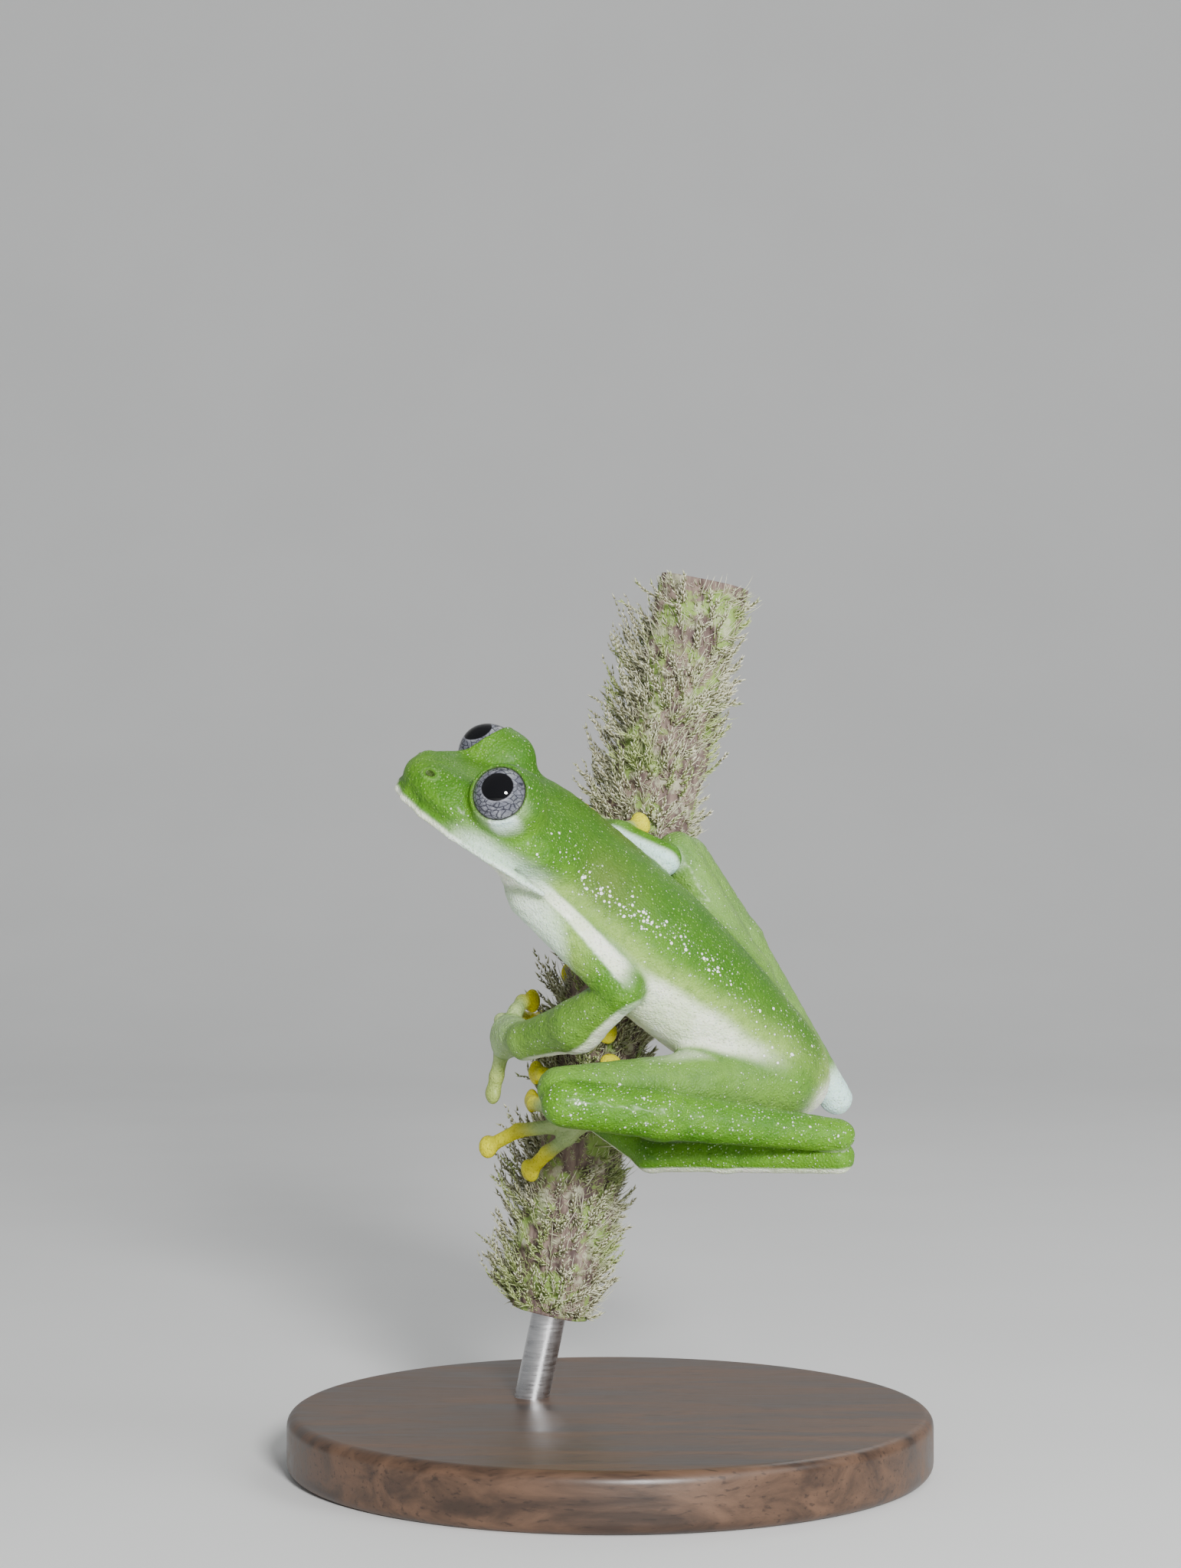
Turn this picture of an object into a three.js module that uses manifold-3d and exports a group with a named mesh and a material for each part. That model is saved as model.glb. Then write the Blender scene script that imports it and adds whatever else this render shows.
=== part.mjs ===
// A life-size glass frog clinging to a cut length of mossy stem, on a small display stand.
// Millimetres, +Z up. The origin lies on the underside of the stand's base, below the middle of the stem.
// The frog faces -X and climbs; its left flank looks along -Y.
//
// Every flesh part is a blend of rounded cones and ellipsoids (a distance field). Each part's skin is
// found by casting rays from the part's own axis, ring by ring, and the parts are then separated
// from each other by a thin cut.
import * as THREE from "three";
import { mergeVertices } from "three/addons/utils/BufferGeometryUtils.js";
import Module from "manifold-3d";

const wasm = await Module();
wasm.setup();

// ---------------------------------------------------------------- driving dimensions (mm)
const CUT = 0.12; // thin cut between neighbouring parts of the body
const REST = 0.05; // clearance under fingers and toes

// stem (perch)
const STEM_FOOT = [-3.62, 0, 7.48];
const STEM_HEAD = [4.46, 0, 45.56];
const STEM_R = 2.35; // woody core
const MOSS = 0.2; // depth of the felted moss that the limbs press on
const STEM_BOW = 0.35; // sideways bow of the stem

// stand
const BASE_R = 16.5;
const BASE_AT = [-0.5, -3.5]; // the base lies under the frog, a little in front of the stem
const BASE_T = 3.0;
const BASE_BEVEL = 0.6;
const ROD_R = 0.9;
const ROD_IN = 4.5; // length of rod inside the stem

// head: origin at the tip of the upper lip, f forward, l to the frog's left, u up
const SNOUT = [-11.15, -10.8, 34.95];
const HEAD_F = [-0.851, -0.291, 0.438];
const HEAD_L = [0.12, -0.918, -0.377];
const EYE_R = 1.54;
const LID = 0.14; // thickness of the lids over the ball
// per eye, +1 left and -1 right: centre, gaze (forward, sideways, up), and how far from the centre the lids open
const EYES = {
  1: { at: [-4.22, 3.11, 2.94], looks: [0.6, 0.72, 0.32], opens: 0.8 },
  "-1": { at: [-4.18, 3.12, 2.69], looks: [0.78, 0.5, 0.36], opens: 0.48 },
};

// trunk: origin at mid trunk
const TRUNK = [1.65, -6.8, 27.13];
const TRUNK_F = [-0.693, -0.196, 0.693];
const TRUNK_L = [-0.1875, -0.88, -0.4365];

// ---------------------------------------------------------------- small vector helpers
const add = (a, b) => [a[0] + b[0], a[1] + b[1], a[2] + b[2]];
const sub = (a, b) => [a[0] - b[0], a[1] - b[1], a[2] - b[2]];
const mul = (a, s) => [a[0] * s, a[1] * s, a[2] * s];
const dot = (a, b) => a[0] * b[0] + a[1] * b[1] + a[2] * b[2];
const cross = (a, b) => [a[1] * b[2] - a[2] * b[1], a[2] * b[0] - a[0] * b[2], a[0] * b[1] - a[1] * b[0]];
const len = (a) => Math.hypot(a[0], a[1], a[2]);
const unit = (a) => mul(a, 1 / len(a));
const mix = (a, b, t) => [a[0] + (b[0] - a[0]) * t, a[1] + (b[1] - a[1]) * t, a[2] + (b[2] - a[2]) * t];
const clamp = (x, a, b) => Math.min(b, Math.max(a, x));

// an orthonormal frame {o, f, l, u} from a forward and a left direction
function frame(o, f, l) {
  const F = unit(f), L = unit(sub(l, mul(F, dot(l, F))));
  return { o, f: F, l: L, u: cross(F, L) };
}
const at = (fr, f, l, u) => add(add(fr.o, mul(fr.f, f)), add(mul(fr.l, l), mul(fr.u, u)));

// ---------------------------------------------------------------- distance-field primitives
// rounded cone from a to b with end radii ra, rb; flat < 1 thins it along the direction n
function cone(a, b, ra, rb, n = null, flat = 1) {
  const ab = sub(b, a), L = len(ab), d = mul(ab, 1 / L);
  const nn = n ? unit(sub(n, mul(d, dot(n, d)))) : null;
  return (p) => {
    let q = sub(p, a), s = 1;
    if (nn) { const h = dot(q, nn); q = add(q, mul(nn, h * (1 / flat - 1))); s = 1 - (1 - flat) * Math.abs(dot(unit(add(q, [1e-9, 0, 0])), nn)); }
    const t = dot(q, d), r = len(sub(q, mul(d, t)));
    const k = (ra - rb) / L, c = Math.sqrt(Math.max(1e-9, 1 - k * k));
    const tt = clamp((t + (r * k) / c) / L, 0, 1);
    return (Math.hypot(r, t - tt * L) - (ra + (rb - ra) * tt)) * s;
  };
}
function ball(c, r) { return (p) => len(sub(p, c)) - r; }
function egg(fr, c, r) { // ellipsoid with its centre and radii in the frame fr
  const o = at(fr, ...c);
  return (p) => {
    const q = sub(p, o), x = dot(q, fr.f), y = dot(q, fr.l), z = dot(q, fr.u);
    const k0 = Math.hypot(x / r[0], y / r[1], z / r[2]);
    const k1 = Math.hypot(x / (r[0] * r[0]), y / (r[1] * r[1]), z / (r[2] * r[2]));
    return k1 < 1e-9 ? -Math.min(...r) : (k0 * (k0 - 1)) / k1;
  };
}
const smin = (a, b, k) => { const h = Math.max(k - Math.abs(a - b), 0) / k; return Math.min(a, b) - h * h * k * 0.25; };
const blend = (k, ...fs) => (p) => fs.reduce((d, f) => (d === null ? f(p) : smin(d, f(p), k)), null);

// ---------------------------------------------------------------- frames
const HEAD = frame(SNOUT, HEAD_F, HEAD_L);
const BODY = frame(TRUNK, TRUNK_F, TRUNK_L);
const STEM_DIR = unit(sub(STEM_HEAD, STEM_FOOT));
function stemAxis(z) {
  const t = (z - STEM_FOOT[2]) / (STEM_HEAD[2] - STEM_FOOT[2]);
  const p = mix(STEM_FOOT, STEM_HEAD, t);
  return [p[0] - STEM_BOW * Math.sin(Math.PI * clamp(t, 0, 1)), p[1], p[2]];
}
// a point beside the stem: 0 deg is +X, 90 behind (+Y), 180 left, 270 in front
const round = (deg, z, r) => { const a = stemAxis(z), t = (deg * Math.PI) / 180; return [a[0] + r * Math.cos(t), a[1] + r * Math.sin(t), z]; };

// ---------------------------------------------------------------- head
const both = (f) => [f(1), f(-1)];
const eyeAt = (s) => at(HEAD, EYES[s].at[0], EYES[s].at[1] * s, EYES[s].at[2]);
const eyeAxis = (s) => unit(add(add(mul(HEAD.f, EYES[s].looks[0]), mul(HEAD.l, EYES[s].looks[1] * s)), mul(HEAD.u, EYES[s].looks[2])));
// the upper lip: f, l, u and thickness
const lipLine = [[-0.42, 0.0, -0.08, 0.27], [-0.62, 0.85, 0.0, 0.27], [-1.46, 1.95, -0.02, 0.26], [-3.0, 3.05, 0.0, 0.25], [-4.8, 3.93, 0.06, 0.24], [-6.8, 4.28, -0.06, 0.2], [-8.2, 4.0, -0.28, 0.12]];
function lip(s) {
  const out = [];
  for (let i = 0; i + 1 < lipLine.length; i++) {
    const a = lipLine[i], b = lipLine[i + 1];
    out.push(cone(at(HEAD, a[0], a[1] * s, a[2]), at(HEAD, b[0], b[1] * s, b[2]), a[3], b[3]));
  }
  return out;
}
// a dome over an eye, cut off where the lids open
function dome(s, c, r) {
  const f = egg(HEAD, [c[0], c[1] * s, c[2]], r), o = eyeAt(s), ax = eyeAxis(s);
  return (p) => Math.max(f(p), dot(sub(p, o), ax) - EYES[s].opens);
}
const headField = blend(0.5,
  blend(1.1,
    egg(HEAD, [-6.6, 0, 1.3], [3.6, 4.15, 1.85]), // braincase and cheeks
    egg(HEAD, [-3.7, 0, 1.1], [3.55, 3.25, 1.5]), // muzzle
    egg(HEAD, [-5.6, 0, 0.42], [4.1, 3.5, 0.95])), // lower jaw
  egg(HEAD, [-1.55, 0, 0.82], [1.28, 1.5, 1.05]), // blunt snout
  blend(0.25, ...lip(1), ...lip(-1)),
  ...both((s) => cone(at(HEAD, -1.2, 0.92 * s, 1.52), at(HEAD, -2.8, 1.95 * s, 1.95), 0.4, 0.58)), // canthus
  ...both((s) => dome(s, [-5.12, 2.62, 2.7], [1.42, 1.55, 1.74])), // eye domes
  ...both((s) => dome(s, [-5.3, 2.4, 2.3], [1.4, 1.4, 1.3])),
  ...both((s) => (p) => { // lids
    const q = sub(p, eyeAt(s));
    return Math.max(len(q) - EYE_R - LID, dot(q, eyeAxis(s)) - EYES[s].opens);
  }));

// ---------------------------------------------------------------- trunk
const trunkField = blend(1.6,
  egg(BODY, [8.2, 0, -0.5], [3.3, 3.55, 1.85]), // neck
  egg(BODY, [4.9, 0, -0.3], [5.0, 3.75, 2.65]), // chest and shoulders
  egg(BODY, [-0.6, 0, -0.35], [6.3, 3.95, 3.2]), // belly
  egg(BODY, [-6.0, 0, -0.1], [5.2, 3.1, 2.75]), // loins
  egg(BODY, [-9.5, 0, 0.0], [2.6, 2.3, 2.0])); // rump and vent

// ---------------------------------------------------------------- limbs
const shoulderL = [-4.05, -9.7, 29.6], elbowL = [0.05, -10.5, 24.85], wristL = [-4.75, -5.3, 21.98], palmL = [-5.75, -2.9, 22.25];
const forearmMidL = [-2.15, -8.3, 22.95];
const shoulderR = [-2.4, -3.35, 30.8], elbowR = [2.25, -4.6, 31.2], wristR = [-0.15, -4.25, 32.35], palmR = [-0.5, -3.7, 32.5];
const hipL = [8.0, -6.3, 19.9], kneeL = [-3.0, -12.2, 20.15], shinL = [-2.75, -12.9, 19.5], heelL = [10.65, -11.0, 17.75];
const hockL = [10.65, -10.4, 16.65], ankleL = [1.55, -7.0, 16.3], footL = [-1.5, -4.5, 18.1];
const hipR = [8.5, -3.3, 20.9], kneeR = [2.95, -2.75, 31.5], shinR = [3.5, -2.0, 31.2], heelR = [11.3, -0.2, 18.6];
const hockR = [10.9, 0.9, 18.9], ankleR = [4.3, 1.3, 24.3], footR = round(25, 26.4, 3.55);

const upperArmLField = cone(shoulderL, elbowL, 1.55, 1.05);
const forearmLField = blend(0.4, cone(elbowL, forearmMidL, 1.02, 1.32), cone(forearmMidL, wristL, 1.32, 0.96));
const upperArmRField = cone(shoulderR, elbowR, 1.05, 0.85);
const forearmRField = cone(elbowR, wristR, 0.86, 0.78);
const thighLField = blend(0.5, cone(hipL, mix(hipL, kneeL, 0.4), 1.75, 1.65), cone(mix(hipL, kneeL, 0.4), kneeL, 1.65, 1.1));
const shankLField = blend(0.4, cone(shinL, mix(shinL, heelL, 0.35), 1.15, 1.22), cone(mix(shinL, heelL, 0.35), heelL, 1.22, 0.82));
const tarsusLField = blend(0.4, cone(hockL, mix(hockL, ankleL, 0.6), 0.85, 0.78), cone(mix(hockL, ankleL, 0.6), ankleL, 0.78, 0.78));
const thighRField = blend(0.5, cone(hipR, mix(hipR, kneeR, 0.4), 1.55, 1.45), cone(mix(hipR, kneeR, 0.4), kneeR, 1.45, 1.05));
const shankRField = blend(0.4, cone(shinR, mix(shinR, heelR, 0.35), 1.1, 1.2), cone(mix(shinR, heelR, 0.35), heelR, 1.2, 0.85));
const tarsusRField = blend(0.4, cone(hockR, mix(hockR, ankleR, 0.6), 0.78, 0.66), cone(mix(hockR, ankleR, 0.6), ankleR, 0.66, 0.72));

// a finger or toe: a bent rod through its points that ends in a broad, flat disc
const DIGIT_R = 0.36, DISC_R = 0.62, DISC_T = 0.34;
function digit(pts, r = DIGIT_R, disc = DISC_R) {
  const fs = [];
  for (let i = 0; i + 1 < pts.length; i++) fs.push(cone(pts[i], pts[i + 1], i ? r : r * 1.25, r));
  const tip = pts[pts.length - 1], dir = unit(sub(tip, pts[pts.length - 2]));
  const out = unit(sub(tip, stemAxis(tip[2])));
  const fr = frame(tip, dir, cross(out, dir));
  fs.push(egg(fr, [0.05, 0, 0], [disc * 0.85, disc, DISC_T]));
  return { field: blend(0.2, ...fs), pts: [...pts, add(tip, mul(dir, 0.05))] };
}
const fingersL = [
  digit([palmL, [-4.3, -4.3, 21.9], [-2.4, -4.0, 22.1], [-0.7, -3.5, 22.3]]),
  digit([palmL, [-5.35, -2.6, 23.3], [-5.0, -2.1, 23.75], [-4.55, -1.4, 23.75]]),
  digit([palmL, [-6.1, -1.5, 22.75], [-5.2, 0.3, 22.8], [-4.1, 1.6, 22.5]]),
  digit([palmL, [-6.1, -2.3, 21.0], [-6.35, -1.8, 19.9], [-6.55, -1.5, 19.0]])];
const fingersR = [
  digit([palmR, [0.4, -3.7, 32.7], [1.05, -3.1, 32.95]]),
  digit([palmR, [-1.0, -3.1, 33.0], [-1.6, -2.0, 33.4], [-1.8, -1.1, 33.4]]),
  digit([palmR, [-1.6, -2.9, 32.2], [-2.0, -1.3, 32.3], [-1.85, -0.2, 32.3]]),
  digit([palmR, [-1.5, -3.1, 31.6], [-2.1, -1.7, 31.2], [-2.1, -0.6, 31.0]])];
const toesL = [
  digit([footL, [-0.9, -4.0, 19.6], [-0.45, -3.45, 20.6]]),
  digit([footL, [-2.6, -3.9, 19.3], [-3.9, -2.3, 20.0], [-4.3, -1.5, 20.05]]),
  digit([footL, [-3.5, -3.7, 18.4], [-4.4, -2.0, 18.5], [-4.55, -0.5, 18.5]]),
  digit([footL, [-3.4, -4.0, 17.5], [-5.2, -3.0, 17.2], [-6.75, -2.2, 16.3]]),
  digit([footL, [-2.7, -4.2, 16.9], [-3.7, -3.2, 16.1], [-4.6, -2.3, 15.1]])];
const toesR = [
  digit([footR, round(60, 28.2, 3.3), round(85, 29.2, 3.0)]),
  digit([footR, round(65, 27.6, 3.4), round(100, 28.2, 3.2), round(124, 28.3, 3.0)]),
  digit([footR, round(68, 26.6, 3.4), round(108, 26.8, 3.2), round(138, 27.0, 3.0)]),
  digit([footR, round(66, 25.6, 3.4), round(108, 25.2, 3.2), round(140, 25.0, 3.0)]),
  digit([footR, round(62, 24.9, 3.4), round(95, 23.9, 3.2), round(122, 23.3, 3.0)])];
const palmLField = blend(0.4, cone(wristL, palmL, 0.88, 0.86), cone(mix(wristL, palmL, 0.6), add(palmL, [-0.05, 0.1, -0.55]), 0.84, 0.82));
const palmRField = cone(wristR, palmR, 0.74, 0.66);
const soleLField = cone(ankleL, footL, 0.74, 0.62);
const soleRField = cone(ankleR, footR, 0.7, 0.62);

// ---------------------------------------------------------------- skin by rays from an axis
function along(path, t) { // point and direction at length t of a polyline
  let s = t;
  for (let i = 0; i + 1 < path.length; i++) {
    const d = sub(path[i + 1], path[i]), L = len(d);
    if (s <= L || i + 2 === path.length) return { p: add(path[i], mul(d, s / L)), d: mul(d, 1 / L) };
    s -= L;
  }
}
const total = (path) => path.slice(1).reduce((s, p, i) => s + len(sub(p, path[i])), 0);
function edge(field, p, d, iso, far) { // distance from an inside point to the skin
  let a = 0, step = 0.12;
  while (a < far && field(add(p, mul(d, a + step))) < iso) a += step;
  let b = a + step;
  for (let i = 0; i < 18; i++) { const m = (a + b) / 2; if (field(add(p, mul(d, m))) < iso) a = m; else b = m; }
  return a;
}
function smoothDir(path, t, w) {
  const T = total(path);
  return unit(sub(along(path, clamp(t + w, 0, T)).p, along(path, clamp(t - w, 0, T)).p));
}
function skin(field, path, rings, sides, iso = 0, up = [0, 0, 1], bendW = 0.6) {
  const T = total(path);
  const d0 = along(path, 0).d, d1 = along(path, T).d;
  const e0 = edge(field, path[0], mul(d0, -1), iso, 12), e1 = edge(field, path[path.length - 1], d1, iso, 12);
  const place = (t) => (t < 0 ? add(path[0], mul(d0, t)) : t > T ? add(path[path.length - 1], mul(d1, t - T)) : along(path, t).p);
  const verts = [place(-e0)], tri = [];
  for (let i = 0; i < rings; i++) {
    const t = -e0 + (T + e0 + e1) * (1 - Math.cos((Math.PI * (i + 0.6)) / (rings + 0.2))) * 0.5;
    const c = place(t), d = smoothDir(path, clamp(t, 0, T), bendW);
    let x = cross(up, d); x = unit(len(x) < 0.1 ? cross([1, 0, 0], d) : x);
    const y = cross(d, x);
    for (let j = 0; j < sides; j++) {
      const a = (2 * Math.PI * j) / sides, dir = add(mul(x, Math.cos(a)), mul(y, Math.sin(a)));
      verts.push(add(c, mul(dir, Math.max(0.02, edge(field, c, dir, iso, 9)))));
    }
  }
  verts.push(place(T + e1));
  const last = verts.length - 1, id = (i, j) => 1 + i * sides + (j % sides);
  for (let j = 0; j < sides; j++) {
    tri.push(0, id(0, j + 1), id(0, j));
    for (let i = 0; i + 1 < rings; i++) tri.push(id(i, j), id(i, j + 1), id(i + 1, j + 1), id(i, j), id(i + 1, j + 1), id(i + 1, j));
    tri.push(last, id(rings - 1, j), id(rings - 1, j + 1));
  }
  const g = new THREE.BufferGeometry();
  g.setAttribute("position", new THREE.Float32BufferAttribute(verts.flat(), 3));
  g.setIndex(tri);
  return g;
}

// ---------------------------------------------------------------- solids
function solid(geometry) {
  const g = geometry.index ? geometry.toNonIndexed() : geometry.clone();
  const bare = new THREE.BufferGeometry().setAttribute("position", g.getAttribute("position"));
  const m = mergeVertices(bare, 1e-4);
  const s = new wasm.Manifold(new wasm.Mesh({ numProp: 3, vertProperties: m.attributes.position.array, triVerts: new Uint32Array(m.index.array) }));
  if (s.volume() < 0) throw new Error("inside out");
  return s;
}
function biggest(s) {
  const parts = s.decompose();
  return parts.reduce((a, b) => (b.volume() > a.volume() ? b : a));
}
function geometryOf(s) {
  const m = s.getMesh(), v = new Float32Array(m.numVert * 3);
  for (let i = 0; i < m.numVert; i++) v.set(m.vertProperties.subarray(i * m.numProp, i * m.numProp + 3), i * 3);
  return new THREE.BufferGeometry().setAttribute("position", new THREE.BufferAttribute(v, 3)).setIndex(new THREE.BufferAttribute(m.triVerts, 1));
}

// name: [field, axis path, rings, sides]
const neckEnd = at(BODY, 9.6, 0, 0.6);
const shapes = {
  head: [headField, [at(HEAD, -8.4, 0, 1.3), at(HEAD, -5.5, 0, 1.2), at(HEAD, -1.5, 0, 0.95)], 18, 24],
  trunk: [trunkField, [at(BODY, -9.5, 0, 0), at(BODY, -6, 0, -0.1), at(BODY, 0, 0, -0.2), at(BODY, 5, 0, -0.1), neckEnd], 15, 17],
  upper_arm_left: [upperArmLField, [shoulderL, elbowL], 8, 12],
  forearm_left: [forearmLField, [elbowL, forearmMidL, wristL], 9, 12],
  upper_arm_right: [upperArmRField, [shoulderR, elbowR], 7, 9],
  forearm_right: [forearmRField, [elbowR, wristR], 7, 9],
  thigh_left: [thighLField, [hipL, kneeL], 11, 13],
  shank_left: [shankLField, [shinL, heelL], 11, 12],
  tarsus_left: [tarsusLField, [hockL, ankleL], 9, 10],
  thigh_right: [thighRField, [hipR, kneeR], 10, 10],
  shank_right: [shankRField, [shinR, heelR], 10, 10],
  tarsus_right: [tarsusRField, [hockR, ankleR], 8, 8],
};
const cache = {};
function body(name, grow = 0) {
  const key = name + grow;
  if (!cache[key]) {
    const [field, path, rings, sides] = shapes[name];
    cache[key] = solid(skin(field, path, rings, sides, grow));
  }
  return cache[key];
}
function paw(name, palmField, palmPath, digits, grow = 0) {
  const key = name + grow;
  if (!cache[key]) {
    let s = solid(skin(palmField, palmPath, 5, 8, grow));
    for (const d of digits) s = s.add(solid(skin(d.field, d.pts, 2 + 2 * d.pts.length, 6, grow, [0.3, 0.2, 1], 0.35)));
    cache[key] = s;
  }
  return cache[key];
}
const paws = {
  hand_left: [palmLField, [wristL, palmL], fingersL],
  hand_right: [palmRField, [wristR, palmR], fingersR],
  foot_left: [soleLField, [ankleL, footL], toesL],
  foot_right: [soleRField, [ankleR, footR], toesR],
};
const any = (name, grow = 0) => (paws[name] ? paw(name, ...paws[name], grow) : body(name, grow));

// the stem: a lathe-like tube along its bowed axis, uneven with moss
function stem(grow) {
  const R = STEM_R + MOSS + grow, n = 14, m = 15, v = [], tri = [];
  for (let i = 0; i <= m; i++) {
    const z = STEM_FOOT[2] + ((STEM_HEAD[2] - STEM_FOOT[2]) * i) / m, c = stemAxis(z);
    for (let j = 0; j < n; j++) {
      const a = (2 * Math.PI * j) / n;
      const r = R + 0.1 * Math.sin(3.1 * i + 1.3 * Math.sin(a)) + 0.07 * Math.sin(3 * a + i);
      v.push(c[0] + r * Math.cos(a) * STEM_DIR[2], c[1] + r * Math.sin(a), c[2] - r * Math.cos(a) * STEM_DIR[0]);
    }
  }
  const lo = v.length / 3; v.push(...stemAxis(STEM_FOOT[2]));
  const hi = lo + 1; v.push(...stemAxis(STEM_HEAD[2]));
  const id = (i, j) => i * n + (j % n);
  for (let j = 0; j < n; j++) {
    tri.push(lo, id(0, j + 1), id(0, j), hi, id(m, j), id(m, j + 1));
    for (let i = 0; i < m; i++) tri.push(id(i, j), id(i, j + 1), id(i + 1, j + 1), id(i, j), id(i + 1, j + 1), id(i + 1, j));
  }
  const g = new THREE.BufferGeometry();
  g.setAttribute("position", new THREE.Float32BufferAttribute(v, 3));
  g.setIndex(tri);
  return solid(g);
}

// stand: a round base with a soft edge, and one rod leaning with the stem
function disc() {
  const s = new THREE.Shape().absarc(0, 0, BASE_R - BASE_BEVEL, 0, 2 * Math.PI);
  const g = new THREE.ExtrudeGeometry(s, { depth: BASE_T - 2 * BASE_BEVEL, bevelThickness: BASE_BEVEL, bevelSize: BASE_BEVEL, bevelSegments: 1, curveSegments: 18 });
  g.translate(BASE_AT[0], BASE_AT[1], BASE_BEVEL);
  return solid(g);
}
const rodTop = add(stemAxis(STEM_FOOT[2]), mul(STEM_DIR, ROD_IN));
const rodFoot = sub(stemAxis(STEM_FOOT[2]), mul(STEM_DIR, (STEM_FOOT[2] - BASE_T + 1.4) / STEM_DIR[2]));
function rod(r, extra = 0) {
  const top = add(rodTop, mul(STEM_DIR, extra));
  const g = new THREE.CylinderGeometry(r, r, len(sub(top, rodFoot)), 18);
  g.rotateX(Math.PI / 2);
  const q = new THREE.Quaternion().setFromUnitVectors(new THREE.Vector3(0, 0, 1), new THREE.Vector3(...STEM_DIR));
  g.applyQuaternion(q);
  g.translate(...mix(top, rodFoot, 0.5));
  return solid(g);
}

function eye(s, grow) {
  const g = new THREE.SphereGeometry(EYE_R + grow, 14, 9);
  g.applyQuaternion(new THREE.Quaternion().setFromUnitVectors(new THREE.Vector3(0, 1, 0), new THREE.Vector3(...eyeAxis(s))));
  g.translate(...eyeAt(s));
  return solid(g);
}

// ---------------------------------------------------------------- which part is cut back from which
const perchSolid = stem(0).subtract(rod(ROD_R + 0.1, 0.15));
const perchGrown = stem(REST);
const out = {};
out.head = biggest(any("head").subtract(eye(1, 0.06)).subtract(eye(-1, 0.06)));
out.eye_left = eye(1, 0);
out.eye_right = eye(-1, 0);
const cuts = {
  trunk: ["head"],
  upper_arm_left: ["trunk", "head"],
  forearm_left: ["upper_arm_left", "trunk"],
  forearm_right: ["trunk", "head"],
  upper_arm_right: ["trunk", "head", "forearm_right"],
  thigh_left: ["trunk"],
  thigh_right: ["trunk", "upper_arm_right", "forearm_right"],
  shank_left: ["thigh_left", "trunk", "forearm_left"],
  shank_right: ["thigh_right", "trunk", "forearm_right", "upper_arm_right"],
  tarsus_left: ["shank_left", "thigh_left"],
  tarsus_right: ["shank_right", "thigh_right", "trunk"],
  hand_left: ["forearm_left"],
  hand_right: ["forearm_right", "trunk", "head", "thigh_right", "shank_right", "upper_arm_right"],
  foot_left: ["tarsus_left", "shank_left", "thigh_left", "hand_left"],
  foot_right: ["tarsus_right", "shank_right", "thigh_right", "trunk"],
};
for (const [name, list] of Object.entries(cuts)) {
  let s = any(name);
  for (const other of list) s = s.subtract(any(other, CUT));
  if (name !== "trunk") s = s.subtract(perchGrown);
  if (s.isEmpty()) throw new Error(name + " is cut away");
  out[name] = biggest(s);
}
out.perch_stem = biggest(perchSolid);
out.stand_base = biggest(disc().subtract(rod(ROD_R + 0.05)));
out.stand_rod = rod(ROD_R);

// ---------------------------------------------------------------- materials and the group
const flesh = new THREE.MeshStandardMaterial({ color: 0x62a53a, roughness: 0.35, metalness: 0 });
const yellow = new THREE.MeshStandardMaterial({ color: 0xd8c524, roughness: 0.35, metalness: 0 });
const iris = new THREE.MeshStandardMaterial({ color: 0x6f7880, roughness: 0.1, metalness: 0 });
const moss = new THREE.MeshStandardMaterial({ color: 0x8f8a5a, roughness: 0.95, metalness: 0 });
const wood = new THREE.MeshStandardMaterial({ color: 0x2b2724, roughness: 0.4, metalness: 0 });
const steel = new THREE.MeshStandardMaterial({ color: 0xb9bcc0, roughness: 0.3, metalness: 1 });
const looks = { eye_left: iris, eye_right: iris, perch_stem: moss, stand_base: wood, stand_rod: steel,
  hand_left: yellow, hand_right: yellow, foot_left: yellow, foot_right: yellow };

const group = new THREE.Group();
group.name = "glass_frog";
for (const [name, s] of Object.entries(out)) {
  const mesh = new THREE.Mesh(geometryOf(s), (looks[name] ?? flesh).clone());
  mesh.name = name;
  group.add(mesh);
}
export default group;
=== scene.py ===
import math

import bpy
import numpy as np
from mathutils import Matrix, Vector


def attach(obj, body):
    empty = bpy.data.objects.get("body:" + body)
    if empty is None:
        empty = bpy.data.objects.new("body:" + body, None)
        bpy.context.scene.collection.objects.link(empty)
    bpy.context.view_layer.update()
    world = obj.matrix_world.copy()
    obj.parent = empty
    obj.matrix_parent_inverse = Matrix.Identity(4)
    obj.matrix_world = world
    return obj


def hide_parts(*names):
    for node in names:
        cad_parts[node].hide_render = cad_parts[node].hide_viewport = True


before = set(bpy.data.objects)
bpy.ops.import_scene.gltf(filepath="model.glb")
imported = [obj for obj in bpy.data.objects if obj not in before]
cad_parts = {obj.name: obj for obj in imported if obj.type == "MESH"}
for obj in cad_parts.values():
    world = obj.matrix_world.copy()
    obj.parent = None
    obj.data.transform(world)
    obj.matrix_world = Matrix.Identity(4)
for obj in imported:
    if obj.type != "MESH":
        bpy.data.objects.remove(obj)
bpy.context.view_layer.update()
MM = 0.001

# ------------------------------------------------------------------ camera: the photo's angle
cam_data = bpy.data.cameras.new("camera")
cam = bpy.data.objects.new("camera", cam_data)
bpy.context.collection.objects.link(cam)
cam.location = (-1.5 * MM, -180 * MM, 35 * MM)
cam.rotation_euler = (math.radians(90), 0, 0)
cam_data.sensor_width = 36
cam_data.lens = 36 * 4500 / 2048
cam_data.clip_start = 0.01
bpy.context.scene.camera = cam

# ------------------------------------------------------------------ vectors and frames (mm)
V = lambda *a: np.array(a, dtype=np.float64)
unit = lambda a: a / np.linalg.norm(a)
mix = lambda a, b, t: a + (b - a) * t


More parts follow.
